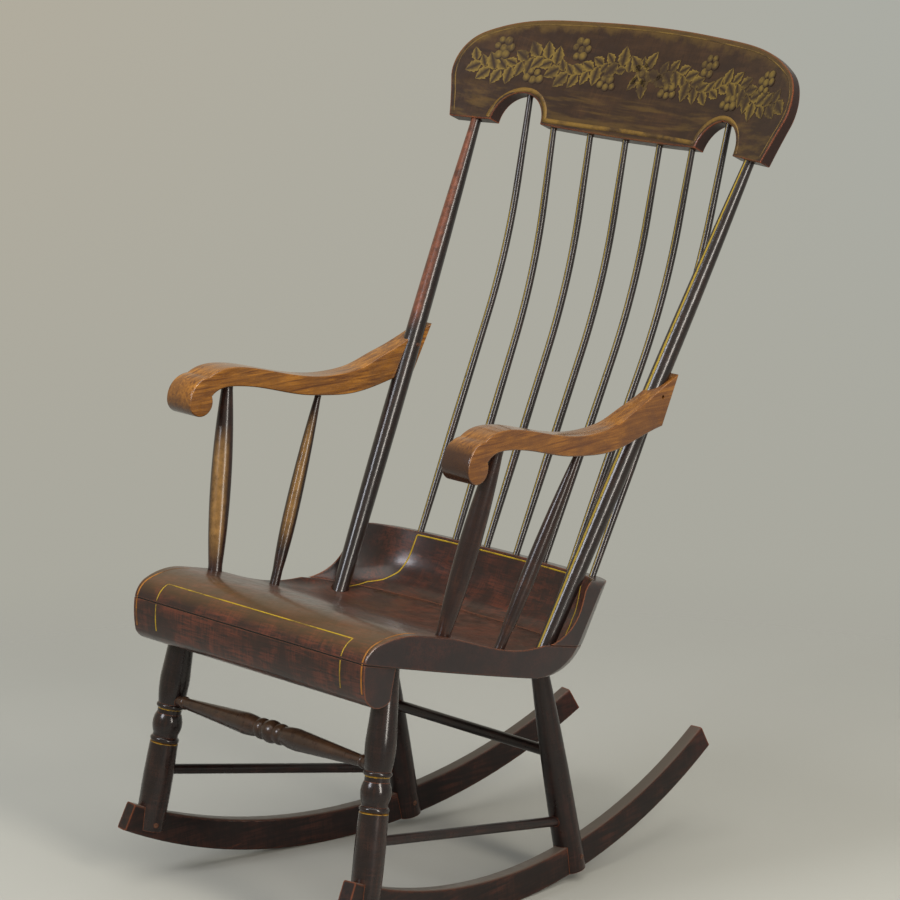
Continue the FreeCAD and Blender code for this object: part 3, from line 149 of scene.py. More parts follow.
# %% Floor disc and world
FLOOR_RADIUS, FLOOR_FADE = 2.6, (0.85, 1.75)
FLOOR_COLOUR, BACKDROP_FOOT = "#afaea5", "#a9a89e"
BACKDROP_WARM, BACKDROP_COOL, ACROSS = "#b2ac9d", "#abaca4", (0.671, 0.741, 0.0)
WARM_TO_COOL, FOOT_TO_WALL = (-0.12, 0.10), (-0.28, -0.08)
FILL_COLOUR, FILL_STRENGTH = "#e6e8ea", 0.44

floor_mesh = bpy.data.meshes.new("studio_floor")
disc = bmesh.new()
bmesh.ops.create_circle(disc, cap_ends=True, segments=128, radius=FLOOR_RADIUS)
disc.to_mesh(floor_mesh)
disc.free()
floor = placed("studio_floor", floor_mesh)

# Matt backdrop paper, clear where it has faded out
paper = bpy.data.materials.new("backdrop_paper")
add = emptied(paper)
place = add(PLACE).outputs
radius = add(VECTOR, (place["Object"],), "LENGTH")
fade = add(RANGE, (radius, *FLOOR_FADE), **SMOOTH)
matt = add("BsdfDiffuse", {"Color": colour(FLOOR_COLOUR)})
gone = add("BsdfTransparent")
both = add("MixShader", (fade, matt, gone))
add("OutputMaterial", (both,))
floor_mesh.materials.append(paper)

world = bpy.data.worlds.new("studio")
bpy.context.scene.world = world
add = emptied(world)
look = add(PLACE).outputs
aside = add(VECTOR, (look["Generated"], ACROSS), "DOT_PRODUCT")
cooler = add(RANGE, (aside, *WARM_TO_COOL))
high = add(MIX, {0: cooler, 6: colour(BACKDROP_WARM), 7: colour(BACKDROP_COOL)}, **RGBA)
height = add(SPLIT, (look["Generated"],)).outputs
rise = add(RANGE, (height["Z"], *FOOT_TO_WALL), **SMOOTH)
wall = add(MIX, {0: rise, 6: colour(BACKDROP_FOOT), 7: high}, **RGBA)
backdrop = add("Background", (wall,))
fill = add("Background", (colour(FILL_COLOUR), FILL_STRENGTH))
# The backdrop is seen by the camera and by what a gloss or a glass sends on
path = add("LightPath").outputs
glossy = add(MATH, (path["Is Camera Ray"], path["Is Glossy Ray"]), "MAXIMUM")
direct = add(MATH, (glossy, path["Is Transmission Ray"]), "MAXIMUM")
chosen = add("MixShader", (direct, fill, backdrop))
add("OutputWorld", (chosen,))
print("floor and backdrop made")

# %% [markdown]
# ## Lamps
#
# A tall softbox on the right, a square one in front and a broad overhead light. The tall one
# draws the long highlights down legs, posts and spindles, which lean by different amounts and
# so each look for it at another height.

# %% Softboxes
SOFTBOXES = (
    # name, azimuth, elevation, distance, width, height, watts, tint
    ("key_softbox", 80.0, 20.0, 3.2, 0.6, 2.5, 82.0, "#fff8ee"),
    ("fill_softbox", -8.0, 30.0, 3.4, 1.0, 1.0, 50.0, "#f3f6ff"),
    ("top_softbox", 40.0, 78.0, 3.4, 3.2, 3.2, 77.0, "#fffdf8"),
)
AIM = Vector((0.0, 0.0, 0.55))
for name, azimuth, elevation, distance, width, height, watts, tint in SOFTBOXES:
    lamp = bpy.data.lights.new(name, "AREA")
    lamp.shape = "RECTANGLE"
    lamp.size, lamp.size_y = width, height
    lamp.energy = watts
    lamp.color = colour(tint)[:3]
    holder = placed(name, lamp)
    a, e = math.radians(azimuth), math.radians(elevation)
    away = Vector((math.sin(a) * math.cos(e), -math.cos(a) * math.cos(e), math.sin(e)))
    holder.location = AIM + away * distance
    holder.rotation_euler = away.to_track_quat("Z", "Y").to_euler()
print("lamps:", [row[0] for row in SOFTBOXES])

# %% [markdown]
# ## The skin of each piece
#
# The frame's meshes are loose triangles with knife-sharp edges. A real edge is eased with a
# scraper before it is painted, so each piece gets a copy whose triangles are merged, whose
# boards are rounded by a millimetre or so, and whose turnings are shaded smooth. Every copy
# also carries `wood_mm`: a place in the wood in millimetres, with Z along the grain and 0 at the
# piece's upper or right end, which is what grain, streaks and rings are drawn on.

# %% Measure the way of the grain
POWER_STEPS, NEARLY_PARALLEL = 60, 0.3


def grain_frame(mesh):
    """The piece's own axes: Z its long way, then X its middle way, measured on the mesh."""
    centres = [face.center for face in mesh.polygons]
    areas = [face.area for face in mesh.polygons]
    total = sum(areas)
    middle = sum((c * a for c, a in zip(centres, areas)), Vector()) / total
    spread = Matrix(((0, 0, 0),) * 3)
    for centre, area in zip(centres, areas):
        off = centre - middle
        spread = spread + Matrix([[off[i] * off[j] * area / total for j in range(3)] for i in range(3)])
    # The long way is the spread's strongest axis; any start that leans off all axes finds it
    long_way = Vector((0.3, 0.2, 1.0))
    for _ in range(POWER_STEPS):
        long_way = (spread @ long_way).normalized()
    if max(long_way, key=abs) < 0:
        long_way.negate()
    side = Vector((0.0, 1.0, 0.0)).cross(long_way)
    if side.length < NEARLY_PARALLEL:
        side = Vector((1.0, 0.0, 0.0)).cross(long_way)
    side.normalize()
    turn = Matrix((side, long_way.cross(side), long_way))
    high = max((turn @ vertex.co).z for vertex in mesh.vertices)
    return turn, middle, high


# %% Merge and ease
SHARP_DEGREES, BOARD_SHARP_DEGREES, FLAT_DEGREES = 32.0, 20.0, 0.3
SAME_POINT_MM, MERGE_MM, BOARD_MERGE_MM, SLIVER_MM = 0.001, 0.1, 0.4, 0.01


def baked(piece):
    """The plain mesh that a piece's modifiers make; they come off it."""
    bpy.context.view_layer.update()
    made = bpy.data.meshes.new_from_object(piece.evaluated_get(bpy.context.evaluated_depsgraph_get()))
    piece.modifiers.clear()
    return made


def merged(node, board):
    """A CAD node's loose triangles as one closed mesh; a board's flat parts become large faces."""
    skin = bmesh.new()
    skin.from_mesh(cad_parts[node].data)
    bmesh.ops.remove_doubles(skin, verts=skin.verts, dist=SAME_POINT_MM * MM)
    merge = (BOARD_MERGE_MM if board else MERGE_MM) * MM
    bmesh.ops.remove_doubles(skin, verts=skin.verts, dist=merge)
    bmesh.ops.dissolve_degenerate(skin, dist=merge / 2, edges=skin.edges)
    if board:
        flat = math.radians(FLAT_DEGREES)
        bmesh.ops.dissolve_limit(skin, angle_limit=flat, verts=skin.verts, edges=skin.edges)
    fins = [face for face in skin.faces if any(edge.is_boundary for edge in face.edges)]
    bmesh.ops.delete(skin, geom=fins, context="FACES")
    mesh = bpy.data.meshes.new(node + ".skin")
    skin.to_mesh(mesh)
    skin.free()
    # The stored normals belong to the triangles before the merge
    if mesh.has_custom_normals:
        mesh.attributes.remove(mesh.attributes["custom_normal"])
    return mesh


def eased(piece, ease_mm):
    """A board's mesh with its sharp edges rounded, without the slivers that this leaves."""
    easing = piece.modifiers.new("eased_edges", "BEVEL")
    easing.width = ease_mm * MM
    easing.segments = 2
    easing.limit_method = "ANGLE"
    easing.angle_limit = math.radians(SHARP_DEGREES)
    easing.use_clamp_overlap = False
    easing.miter_outer = "MITER_ARC"
    mesh = baked(piece)
    slivers = bmesh.new()
    slivers.from_mesh(mesh)
    bmesh.ops.dissolve_degenerate(slivers, dist=SLIVER_MM * MM, edges=slivers.edges)
    slivers.to_mesh(mesh)
    slivers.free()
    return mesh


# %% One piece, from its node to its finish
def dressed(node, finish, ease_mm):
    """A finished copy of a CAD node: merged, eased by ease_mm, smooth, with wood_mm and a finish."""
    mesh = merged(node, board=bool(ease_mm))
    piece = placed(node + ".skin", mesh)
    if ease_mm:
        piece.data = mesh = eased(piece, ease_mm)
    mesh.polygons.foreach_set("use_smooth", [True] * len(mesh.polygons))
    mesh.set_sharp_from_angle(angle=math.radians(BOARD_SHARP_DEGREES if ease_mm else SHARP_DEGREES))
    if ease_mm:
        weighing = piece.modifiers.new("large_faces_rule", "WEIGHTED_NORMAL")
        weighing.keep_sharp = True
        piece.data = mesh = baked(piece)
    turn, middle, high = grain_frame(mesh)
    places = mesh.attributes.new("wood_mm", "FLOAT_VECTOR", "POINT")
    for vertex, place in zip(mesh.vertices, places.data):
        own = turn @ vertex.co
        own -= Vector((*(turn @ middle).xy, high))
        place.vector = own / MM
    mesh.materials.clear()
    mesh.materials.append(finish)
    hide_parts(node)
    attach(piece, "root")
    return piece


# %% [markdown]
# ## Painted wood
#
# A rocker of this kind was painted in two coats: a red-brown ground, then a dark glaze combed
# and dragged over it while wet to imitate rosewood, and varnish on top. Hands, heels and sleeves
# have since rubbed edges down to orange wood. One function makes that stack of layers, and its
# colours and amounts give the seat, the turnings and the crest.

# %% The stack of paint
# Noise drawn out along the grain makes streaks, and drawn out across it the comb's flecks
ALONG_GRAIN, ACROSS_GRAIN = (1.0, 1.0, 0.07), (0.08, 0.08, 1.0)
FLECK_MM, SPECKLE_MM, RUB_MM = 2.6, 11.0, 28.0
# The values of noise between which each effect grows from none to full
STREAK_FROM, STREAK_TO, CLOUD_RANGE = 0.13, 0.45, (0.36, 0.68, 0.12)
EDGE_RANGE, PATCH_FROM, PATCH_TO = (0.74, 0.92), 0.80, 0.90
FLECK_SHARE, BARE_DULL, BARE_DEPTH, GLOSS_SPREAD, MIDDLE = 0.55, 0.2, -0.5, 0.18, (0.3, 0.7)


def painted(name, glaze, ground, bare, streak_mm=4.0, cover=0.5, patch_mm=55.0, rubbed=0.12,
            edge_mm=3.0, edge_wear=2.6, gloss=0.3, coat=0.2, coat_gloss=0.1, relief_mm=0.1, over=(), last=()):
    """Aged paint: dark glaze in streaks over a ground, rubbed to bare wood in patches and on edges.

    The layers in over are rubbed with the paint, those in last lie on top of the rubbing.
    """
    made = bpy.data.materials.new(name)
    add = emptied(made)
    wood = add("Attribute", attribute_name="wood_mm").outputs["Vector"]
    along = add(VECTOR, (wood, ALONG_GRAIN), "MULTIPLY")
    streaks = add(NOISE, noise(along, streak_mm, 6.0, 0.66, 0.7))
    across = add(VECTOR, (wood, ACROSS_GRAIN), "MULTIPLY")
    flecks = add(NOISE, noise(across, FLECK_MM, 5.0, 0.7, 0.5))
    figure = add(MATH, (flecks, FLECK_SHARE, streaks), "MULTIPLY_ADD")
    dragged = add(RANGE, (figure, cover + STREAK_FROM, cover + STREAK_TO), **SMOOTH)
    cloudy = add(NOISE, noise(wood, patch_mm, 4.0, 0.6, 0.4))
    clouds = add(RANGE, (cloudy, *CLOUD_RANGE), **SMOOTH)
    shown_ground = add(MATH, (dragged, clouds), "MULTIPLY")
    base = add(MIX, {0: shown_ground, 6: colour(glaze), 7: colour(ground)}, **RGBA)

    # Rubbing: an edge is where a rounded normal differs from the true one, broken up by noise
    rounded = add("Bevel", {"Radius": edge_mm * MM}, samples=6)
    true = add("NewGeometry").outputs["True Normal"]
    agree = add(VECTOR, (rounded, true), "DOT_PRODUCT")
    speckle = add(NOISE, noise(wood, SPECKLE_MM, 7.0, 0.7))
    edge = add(MATH, (1.0, agree), "SUBTRACT")
    at_edge = add(MATH, (edge, edge_wear), "MULTIPLY")
    worn = add(MATH, (at_edge, speckle), "ADD")
    worn_edge = add(RANGE, (worn, *EDGE_RANGE))
    patchy = add(NOISE, noise(along, RUB_MM, 9.0, 0.68, 0.3))
    worn_patch = add(RANGE, (patchy, PATCH_FROM - rubbed, PATCH_TO - rubbed))
    bare_here = add(MATH, (worn_edge, worn_patch), "MAXIMUM")
    timber = add(MIX, {0: speckle, 6: colour(bare), 7: colour(ground)}, **RGBA)
    shown = base
    for layer in over:
        shown = layer(add, shown, speckle)
    skin = add(MIX, {0: bare_here, 6: shown, 7: timber}, **RGBA)
    for layer in last:
        skin = layer(add, skin, speckle)

    rough = add(RANGE, (speckle, *MIDDLE, gloss, gloss + GLOSS_SPREAD))
    rougher = add(MATH, (bare_here, BARE_DULL, rough), "MULTIPLY_ADD")
    hollow = add(MATH, (bare_here, BARE_DEPTH, figure), "MULTIPLY_ADD")
    relief = add("Bump", {"Height": hollow, "Strength": 0.3, "Distance": relief_mm * MM})
    surface = add("BsdfPrincipled", {
        "Base Color": skin, "Roughness": rougher, "Normal": relief,
        "Coat Weight": coat, "Coat Roughness": coat_gloss, "Specular IOR Level": 0.2,
    })
    add("OutputMaterial", (surface,))
    return made


# %% [markdown]
# ## What lies over the paint
#
# Stripes, rings, bronze dust, dirt, painted shade and sheen could be meshes too, but they wear
# away with the paint under them, so they are drawn in it. Each is a layer, a function of (add,
# colour so far, speckle), that finds its place by where the surface lies and which way it faces.

# %% Tints: dirt, sleeves' rubbing, painted shade and painted sheen
def tinted(tint, most, within=(), soft=0.02, facing=None, ragged=0.0):
    """A layer that tints the paint in a part of the room, where the surface faces one way.

    The part is given by rows of (axis, side, limit), and facing by a direction and the two
    agreements with it at which the tint starts and is full.
    """
    def layer(add, under, speckle):
        own = add(PLACE).outputs
        apart = add(SPLIT, (own["Object"],)).outputs
        limits = []
        for axis, side, limit in within:
            reach = soft if side == ">" else -soft
            limits.append((apart[axis], limit - reach, limit + reach))
        if facing:
            toward = add(VECTOR, (own["Normal"], facing[0]), "DOT_PRODUCT")
            limits.append((toward, *facing[1:]))
        if ragged:
            limits.append((speckle, 0.5 - ragged, 0.5 + ragged))
        amount = most
        for limit in limits:
            inside = add(RANGE, limit)
            amount = add(MATH, (inside, amount), "MULTIPLY")
        return add(MIX, {0: amount, 6: under, 7: colour(tint)}, **RGBA)
    return layer


# %% Yellow lines of the turnings
# The left post stands left of this; its line has been rubbed away
LEFT_POST_X = -0.185
# A stripe's soft edge, and the speckle at which its yellow is gone and is whole
STRIPE_EDGE, AHEAD, STRIPE_KEPT, RING_KEPT = (0.17, 0.11), -0.5, (0.72, 0.56), (0.64, 0.46)
POST_LINE_YELLOW, RING_LINE_YELLOW = "#9a8126", "#9c7a1e"


def front_stripe(add, under, speckle):
    """A thin yellow line down the front of a turning, where its surface looks straight ahead."""
    own = add(PLACE).outputs
    facing = add(SPLIT, (own["Normal"],)).outputs
    aside = add(MATH, (facing["X"],), "ABSOLUTE")
    narrow = add(RANGE, (aside, *STRIPE_EDGE))
    ahead = add(MATH, (facing["Y"], AHEAD), "LESS_THAN")
    place = add(SPLIT, (own["Object"],)).outputs
    striped_side = add(MATH, (place["X"], LEFT_POST_X), "GREATER_THAN")
    in_front = add(MATH, (ahead, striped_side), "MULTIPLY")
    there = add(MATH, (narrow, in_front), "MULTIPLY")
    kept = add(RANGE, (speckle, *STRIPE_KEPT))
    amount = add(MATH, (there, kept), "MULTIPLY")
    return add(MIX, {0: amount, 6: under, 7: colour(POST_LINE_YELLOW)}, **RGBA)


# From a front leg's top: the lines under its vase and its ring, in millimetres
RING_LINES = ((-167.5, 1.0), (-213.5, 1.0))


def ring_lines(add, under, speckle):
    """Yellow lines laid on while the leg turned on the lathe."""
    wood = add("Attribute", attribute_name="wood_mm").outputs["Vector"]
    along = add(SPLIT, (wood,)).outputs["Z"]
    vase, ring = (add(MATH, (along, *line), "COMPARE") for line in RING_LINES)
    either = add(MATH, (vase, ring), "MAXIMUM")
    kept = add(RANGE, (speckle, *RING_KEPT))
    shown = add(MATH, (either, kept), "MULTIPLY")
    return add(MIX, {0: shown, 6: under, 7: colour(RING_LINE_YELLOW)}, **RGBA)


# %% Bronze dust of the crest
# The crest's face, the rim of its ear in shares of that, and the dust on it
CREST_FOOT = Vector((0.0, 0.3138578, 0.9476094))
CREST_LEAN = math.radians(26)
CREST_HALF, CREST_HIGH, CREST_CORNER = 320.0, 157.0, 298.0
EAR = ((0.962, 0.20), (0.994, 0.382), (1.0, 0.529), (0.981, 0.656), (0.934, 0.771), (0.869, 0.841),
       (0.778, 0.904), (0.653, 0.952), (0.416, 0.981), (0.2, 0.9955), (0.0, 1.0))
DUST_BRONZE, WANDER_MM, WANDER, STROKE_MM, STROKE_WAY = "#765b26", 26, 0.3, 11, (0.09, 1.0, 1.0)
RIM_FADE, LEFT_TO_RIGHT, STROKE_RANGE = (0.26, 0.15), (-0.32, 0.30, 0.42, 0.24), (0.45, 0.66, 0.0, 0.26)
STROKES_BELOW, CREST_FRONT = (0.40, 0.30), (-0.3, -0.6)


def bronze_dust(add, under, speckle):
    """Bronze powder on the crest's face, dense at the rim and fading inwards, more on the left."""
    own = add(PLACE).outputs
    apart = add(SPLIT, (own["Object"],)).outputs
    aside = add(MATH, (apart["X"],), "ABSOLUTE")
    across = add(MATH, (aside, CREST_HALF * MM), "DIVIDE")
    above = add(MATH, (apart["Z"], CREST_FOOT.z), "SUBTRACT")
    up = add(MATH, (above, CREST_HIGH * MM * math.cos(CREST_LEAN)), "DIVIDE")
    top = add("FloatCurve", {"Value": across})
    shape = top.mapping.curves[0].points
    shape[0].location, shape[1].location = (0.0, 1.0), EAR[2]
    for spot in EAR[3:-1]:
        shape.new(*spot)
    top.mapping.update()
    gap = add(MATH, (top, up), "SUBTRACT")
    wander = add(NOISE, noise(own["Object"], WANDER_MM * MM, 6.0, 0.65))
    ragged = add(MATH, (wander, WANDER, gap), "MULTIPLY_ADD")
    rim = add(RANGE, (ragged, *RIM_FADE), **SMOOTH)
    leftward = add(RANGE, (apart["X"], *LEFT_TO_RIGHT))
    dusted = add(MATH, (rim, leftward), "MULTIPLY")
    stretched = add(VECTOR, (own["Object"], STROKE_WAY), "MULTIPLY")
    strokes = add(NOISE, noise(stretched, STROKE_MM * MM, 4.0, 0.6))
    streaky = add(RANGE, (strokes, *STROKE_RANGE), **SMOOTH)
    low = add(RANGE, (up, *STROKES_BELOW))
    drawn_out = add(MATH, (low, streaky), "MULTIPLY")
    amount = add(MATH, (dusted, drawn_out), "MAXIMUM")
    front = add(SPLIT, (own["Normal"],)).outputs
    seen = add(RANGE, (front["Y"], *CREST_FRONT))
    shown = add(MATH, (amount, seen), "MULTIPLY")
    return add(MIX, {0: shown, 6: under, 7: colour(DUST_BRONZE)}, **RGBA)


# %% Glue lines of the seat
# The seat's own frame: the middle of its front glue line, and how far it leans back
SEAT_ORIGIN = Vector((0.0, -0.3058, 0.371))
SEAT_TILT = math.radians(13.5)
SEAT_UP = (0.0, math.sin(SEAT_TILT), math.cos(SEAT_TILT))
GLUE_SIDES = (0.985, 0.96)


def glue_line(up_mm, half_mm, tone):
    """A layer with the line where two boards of the seat meet, up_mm above its underside."""
    def layer(add, under, speckle):
        own = add(PLACE).outputs
        off = add(VECTOR, (own["Object"], SEAT_ORIGIN), "SUBTRACT")
        up = add(VECTOR, (off, SEAT_UP), "DOT_PRODUCT")
        near = add(MATH, (up, up_mm * MM, half_mm * MM), "COMPARE")
        level = add(VECTOR, (own["Normal"], SEAT_UP), "DOT_PRODUCT")
        slope = add(MATH, (level,), "ABSOLUTE")
        upright = add(RANGE, (slope, *GLUE_SIDES))
        amount = add(MATH, (near, upright), "MULTIPLY")
        return add(MIX, {0: amount, 6: under, 7: colour(tone)}, **RGBA)
    return layer


# %% Paints of the chair
UP, RIGHT, LEFT = (0.0, 0.0, 1.0), (1.0, 0.0, 0.0), (-1.0, 0.0, 0.0)
# Rosewood-grained seat paint: olive on the nose, greyed end grain of its sides, dust and painted sheen on top
grained_paint = painted(
    "rosewood_grained_paint", "#241814", "#62301f", "#9a5a2e", streak_mm=3.2, cover=0.46, patch_mm=42.0,
    rubbed=0.14, edge_wear=5.5, gloss=0.27, coat=0.5, coat_gloss=0.2, relief_mm=0.07,
    over=(
        tinted("#5a421f", 0.6, (("Y", "<", -0.225), ("Z", ">", 0.385)), soft=0.035,
               facing=((0.0, -0.35, 0.94), 0.72, 0.98)),
        # Dust and a painted sheen: grey where the seat faces up, behind its nose
        tinted("#6a5a4c", 0.42, (("Y", ">", -0.2),), soft=0.05, ragged=0.35, facing=(UP, 0.82, 0.99)),
        *(tinted("#262122", 0.8, facing=(side, 0.55, 0.85)) for side in (RIGHT, LEFT)),
        tinted("#241714", 0.4, (("Y", ">", 0.02), ("Z", ">", 0.34)), soft=0.05),
    ),
    last=(glue_line(0.0, 0.9, "#120d0b"), glue_line(44.0, 0.8, "#38221a")),
)
# The same paint, darker and dirtier, of rear legs and stretchers
leg_paint = painted(
    "dark_rosewood_paint", "#191211", "#38201a", "#94502c", rubbed=0.08, edge_mm=1.5, edge_wear=3.0,
    gloss=0.24, coat=0.35, coat_gloss=0.16, relief_mm=0.05,
)
# of the rockers, with dust and a painted sheen on top, chipped to the red ground near their rear ends
rocker_paint = painted(
    "rocker_paint_with_dust_and_painted_sheen", "#191211", "#3a211a", "#8c4a28", streak_mm=5.0, edge_mm=4.0, edge_wear=9.0,
    coat=0.15,
    over=(
        # Dust and a painted sheen: lighter where the rockers face up
        tinted("#6b6258", 0.6, facing=(UP, 0.45, 0.9)),
        tinted("#6a2420", 0.7, (("Y", ">", 0.36),), soft=0.05, ragged=0.12),
    ),
)
# and of the front legs, with yellow lines in their turnings
ringed_paint = painted(
    "ringed_rosewood_paint", "#1a1312", "#38221b", "#94502c", rubbed=0.08, edge_mm=1.5, edge_wear=3.0,
    gloss=0.18, coat=0.45, coat_gloss=0.14, relief_mm=0.04, over=(ring_lines,),
)
# Nearly black varnished paint of posts and spindles, with a yellow line; one post is rubbed red
dark_paint = painted(
    "dark_varnished_paint", "#1a1312", "#33201a", "#8a4a26", cover=0.52, rubbed=0.10,
    edge_mm=1.2, gloss=0.28, coat=0.7, coat_gloss=0.18, relief_mm=0.008,
    over=(
        tinted("#94553a", 0.9, (("X", "<", -0.216), ("Z", ">", 0.69)), soft=0.015,
               facing=((-0.25, -0.97, 0.0), 0.15, 0.65), ragged=0.26),
        front_stripe,
    ),
)
# Paint that sleeves have rubbed thin, on stumps, arm spindles and front stretcher
worn_paint = painted(
    "rubbed_brown_paint", "#211614", "#40261b", "#a86c34", cover=0.48, rubbed=0.14,
    edge_mm=1.2, gloss=0.22, coat=0.45, coat_gloss=0.2, relief_mm=0.015,
    over=(
        tinted("#ab7f41", 0.95, (("X", "<", -0.15), ("Z", ">", 0.425), ("Z", "<", 0.565)),
               facing=((0.62, -0.78, 0.0), 0.5, 0.9), ragged=0.4),
        tinted("#64492f", 0.6, (("Z", "<", 0.32),), facing=((0.3, -0.5, 0.8), 0.35, 0.95), ragged=0.3),
    ),
)
# Dark ground of the decorated crest rail, plain on its edges and back
crest_paint = painted(
    "crest_ground_paint", "#2c1e16", "#402c1c", "#b0562a", streak_mm=12.0, cover=0.46, rubbed=0.11,
    edge_mm=3.2, edge_wear=7.5,
    over=(
        bronze_dust,
        *(tinted("#2b1b18", 0.85, facing=(side, 0.3, 0.6)) for side in (RIGHT, LEFT)),
    ),
)
print("paints:", [m.name for m in bpy.data.materials if "paint" in m.name])

# %% [markdown]
# ## Bare wood
#
# The arms were left unpainted and oiled, so their grain shows: long lines that follow the bend
# of the arm, darker where the late wood stands. The pegs that lock the joints are end grain.

# %% Oiled arm wood and pegs
GRAIN_WAY, PORE_WAY = (1.0, 1.0, 0.055), (1.0, 1.0, 0.04)
PORE_MM, SOIL_MM, GRAIN_RELIEF_MM = 0.9, 48.0, 0.15
PORE_SHARE, GRAIN_RANGE, SOIL_RANGE, OIL_SPREAD = 0.35, (0.48, 0.84), (0.46, 0.72, 0.0, 0.7), 0.15


def bare_wood(name, light, dark, soil_colour, grain_mm=4.0, gloss=0.3, over=()):
    """Oiled wood: long soft streaks, fine pores along the grain, and soil from hands."""
    made = bpy.data.materials.new(name)
    add = emptied(made)
    wood = add("Attribute", attribute_name="wood_mm").outputs["Vector"]
    along = add(VECTOR, (wood, GRAIN_WAY), "MULTIPLY")
    streaks = add(NOISE, noise(along, grain_mm, 5.0, 0.6, 1.1))
    pores = add(VECTOR, (wood, PORE_WAY), "MULTIPLY")
    fine = add(NOISE, noise(pores, PORE_MM, 3.0, 0.7))
    both = add(MATH, (fine, PORE_SHARE, streaks), "MULTIPLY_ADD")
    tone = add(RANGE, (both, *GRAIN_RANGE))
    timber = add(MIX, {0: tone, 6: colour(light), 7: colour(dark)}, **RGBA)
    soil = add(NOISE, noise(wood, SOIL_MM, 6.0, 0.62))
    soiled = add(RANGE, (soil, *SOIL_RANGE))
    shown = add(MIX, {0: soiled, 6: timber, 7: colour(soil_colour)}, **RGBA)
    for layer in over:
        shown = layer(add, shown, soil)
    rough = add(RANGE, (fine, *MIDDLE, gloss, gloss + OIL_SPREAD))
    relief = add("Bump", {"Height": both, "Strength": 0.25, "Distance": GRAIN_RELIEF_MM * MM})
    surface = add("BsdfPrincipled", {
        "Base Color": shown, "Roughness": rough, "Normal": relief,
        "Coat Weight": 0.5, "Coat Roughness": 0.12, "Specular IOR Level": 0.3,
    })
    add("OutputMaterial", (surface,))
    return made


# Oiled cherry of the arms: painted shade underneath; right arm darker, most on outer side and scroll front
arm_wood = bare_wood(
    "oiled_arm_wood", "#ac7228", "#5e3616", "#5c3a1f", grain_mm=6.0, gloss=0.18,
    over=(
        # Painted shade: darker where the arms face down
        tinted("#3a2318", 0.8, facing=((0.0, -0.3, -0.95), 0.1, 0.75)),
        tinted("#5a3418", 0.3, (("X", ">", 0.0),), soft=0.01),
        tinted("#4a2a1a", 0.45, (("X", ">", 0.0),), soft=0.01, ragged=0.3,
               facing=((1.0, 0.0, -0.1), 0.5, 0.9)),
        tinted("#2e1a12", 0.9, (("X", ">", 0.0), ("Y", "<", -0.12)), facing=((0.0, -1.0, -0.1), 0.3, 0.75)),
    ),
)
# End grain of the pegs
peg_wood = bare_wood("peg_end_grain", "#6a4630", "#3c2417", "#2c1b14", grain_mm=1.5)
print("bare woods:", arm_wood.name, peg_wood.name)

# %% Dress every piece
RUNGS = ("rear_stretcher", "left_side_stretcher", "right_side_stretcher")
STUMPS = ("left_front_stump", "right_front_stump", "left_arm_spindle", "right_arm_spindle")
SPINDLES = (f"spindle_{number}" for number in range(1, 8))
FINISHES = (
    # slot, finish, easing in millimetres, pieces
    ("grained_paint", grained_paint, 1.5, ("seat_plank",)),
    ("grained_paint", grained_paint, 0.8, ("seat_front_roll",)),
    ("grained_paint", grained_paint, 1.5, ("seat_back_riser",)),
    ("grained_paint", ringed_paint, 0.0, ("left_front_leg", "right_front_leg")),
    ("grained_paint", leg_paint, 0.0, ("left_rear_leg", "right_rear_leg", *RUNGS)),
    ("grained_paint", rocker_paint, 0.0, ("left_rocker", "right_rocker")),
    ("dark_paint", dark_paint, 0.0, ("left_post", "right_post", *SPINDLES)),
    ("worn_paint", worn_paint, 0.0, (*STUMPS, "front_stretcher")),
    ("bare_arm_wood", arm_wood, 0.0, ("left_arm", "right_arm")),
    ("decorated_crest", crest_paint, 1.5, ("crest_rail",)),
    ("peg_wood", peg_wood, 0.0, ("crest_pegs", "arm_pegs", "rocker_pegs")),
)
pieces = {}
for slot_name, finish, ease_mm, nodes in FINISHES:
    for node in nodes:
        pieces[node] = dressed(node, finish, ease_mm)
print("dressed:", {name: len(piece.data.polygons) for name, piece in pieces.items()})

# %% [markdown]
# ## Lines and stencils
#
# A striper pulls a long-haired brush loaded with chrome yellow round the seat's panels, and a
# stenciller dabs bronze powders through cut paper on a tacky varnish. Both coats follow the
# wood, so each drawing is made flat, in a guide plane in front of it, and a small tree then
# drops every point along the plane's normal on to the wood and lifts it by the paint's height.

# %% A tree with named inputs, and what it grows


def new_tree(name, inputs):
    """A Geometry Nodes tree with inputs from rows of (name, socket type, value), and its adder."""
    tree = bpy.data.node_groups.new(name, "GeometryNodeTree")
    tree.is_modifier = True
    for label, kind, value in (("Geometry", "Geometry", None), *inputs):
        socket = tree.interface.new_socket(label, in_out="INPUT", socket_type="NodeSocket" + kind)
        if value is not None:
            socket.default_value = value
    tree.interface.new_socket("Geometry", in_out="OUTPUT", socket_type="NodeSocketGeometry")
    add = adding_to(tree)
    return tree, add, add("NodeGroupInput").outputs


def run_inside(add, given, group, inputs, geometry):
    """Run a tree on some geometry inside another, with some of the other's own inputs."""
    feeds = {"Geometry": geometry, **{label: given[label] for label, *_ in inputs}}
    return add("Group", feeds, node_tree=group)


def grown(name, tree, points, settings, joined=True):
    """Run a tree on a path of points, or on loose ones, and keep what it makes as a plain mesh."""
    start = bpy.data.meshes.new(name)
    edges = [(number, number + 1) for number in range(len(points) - 1)] if joined else []
    start.from_pydata(points, edges, [])
    piece = placed(name, start)
    growth = piece.modifiers.new(tree.name, "NODES")
    growth.node_group = tree
    sockets = {item.name: item.identifier for item in tree.interface.items_tree}
    for label, value in settings.items():
        growth[sockets[label]] = value
    piece.data = baked(piece)
    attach(piece, "root")
    print(name, len(piece.data.polygons), "faces")
    return piece


# %% The tree that drops a flat drawing on to the wood
LAY_INPUTS = (
    ("Wood", "Object", None),
    ("Place", "Vector", (0.0, 0.0, 0.0)),
    ("Turn", "Rotation", None),
    ("Lift", "Float", 0.00008),
)
STAND_OFF = 0.3

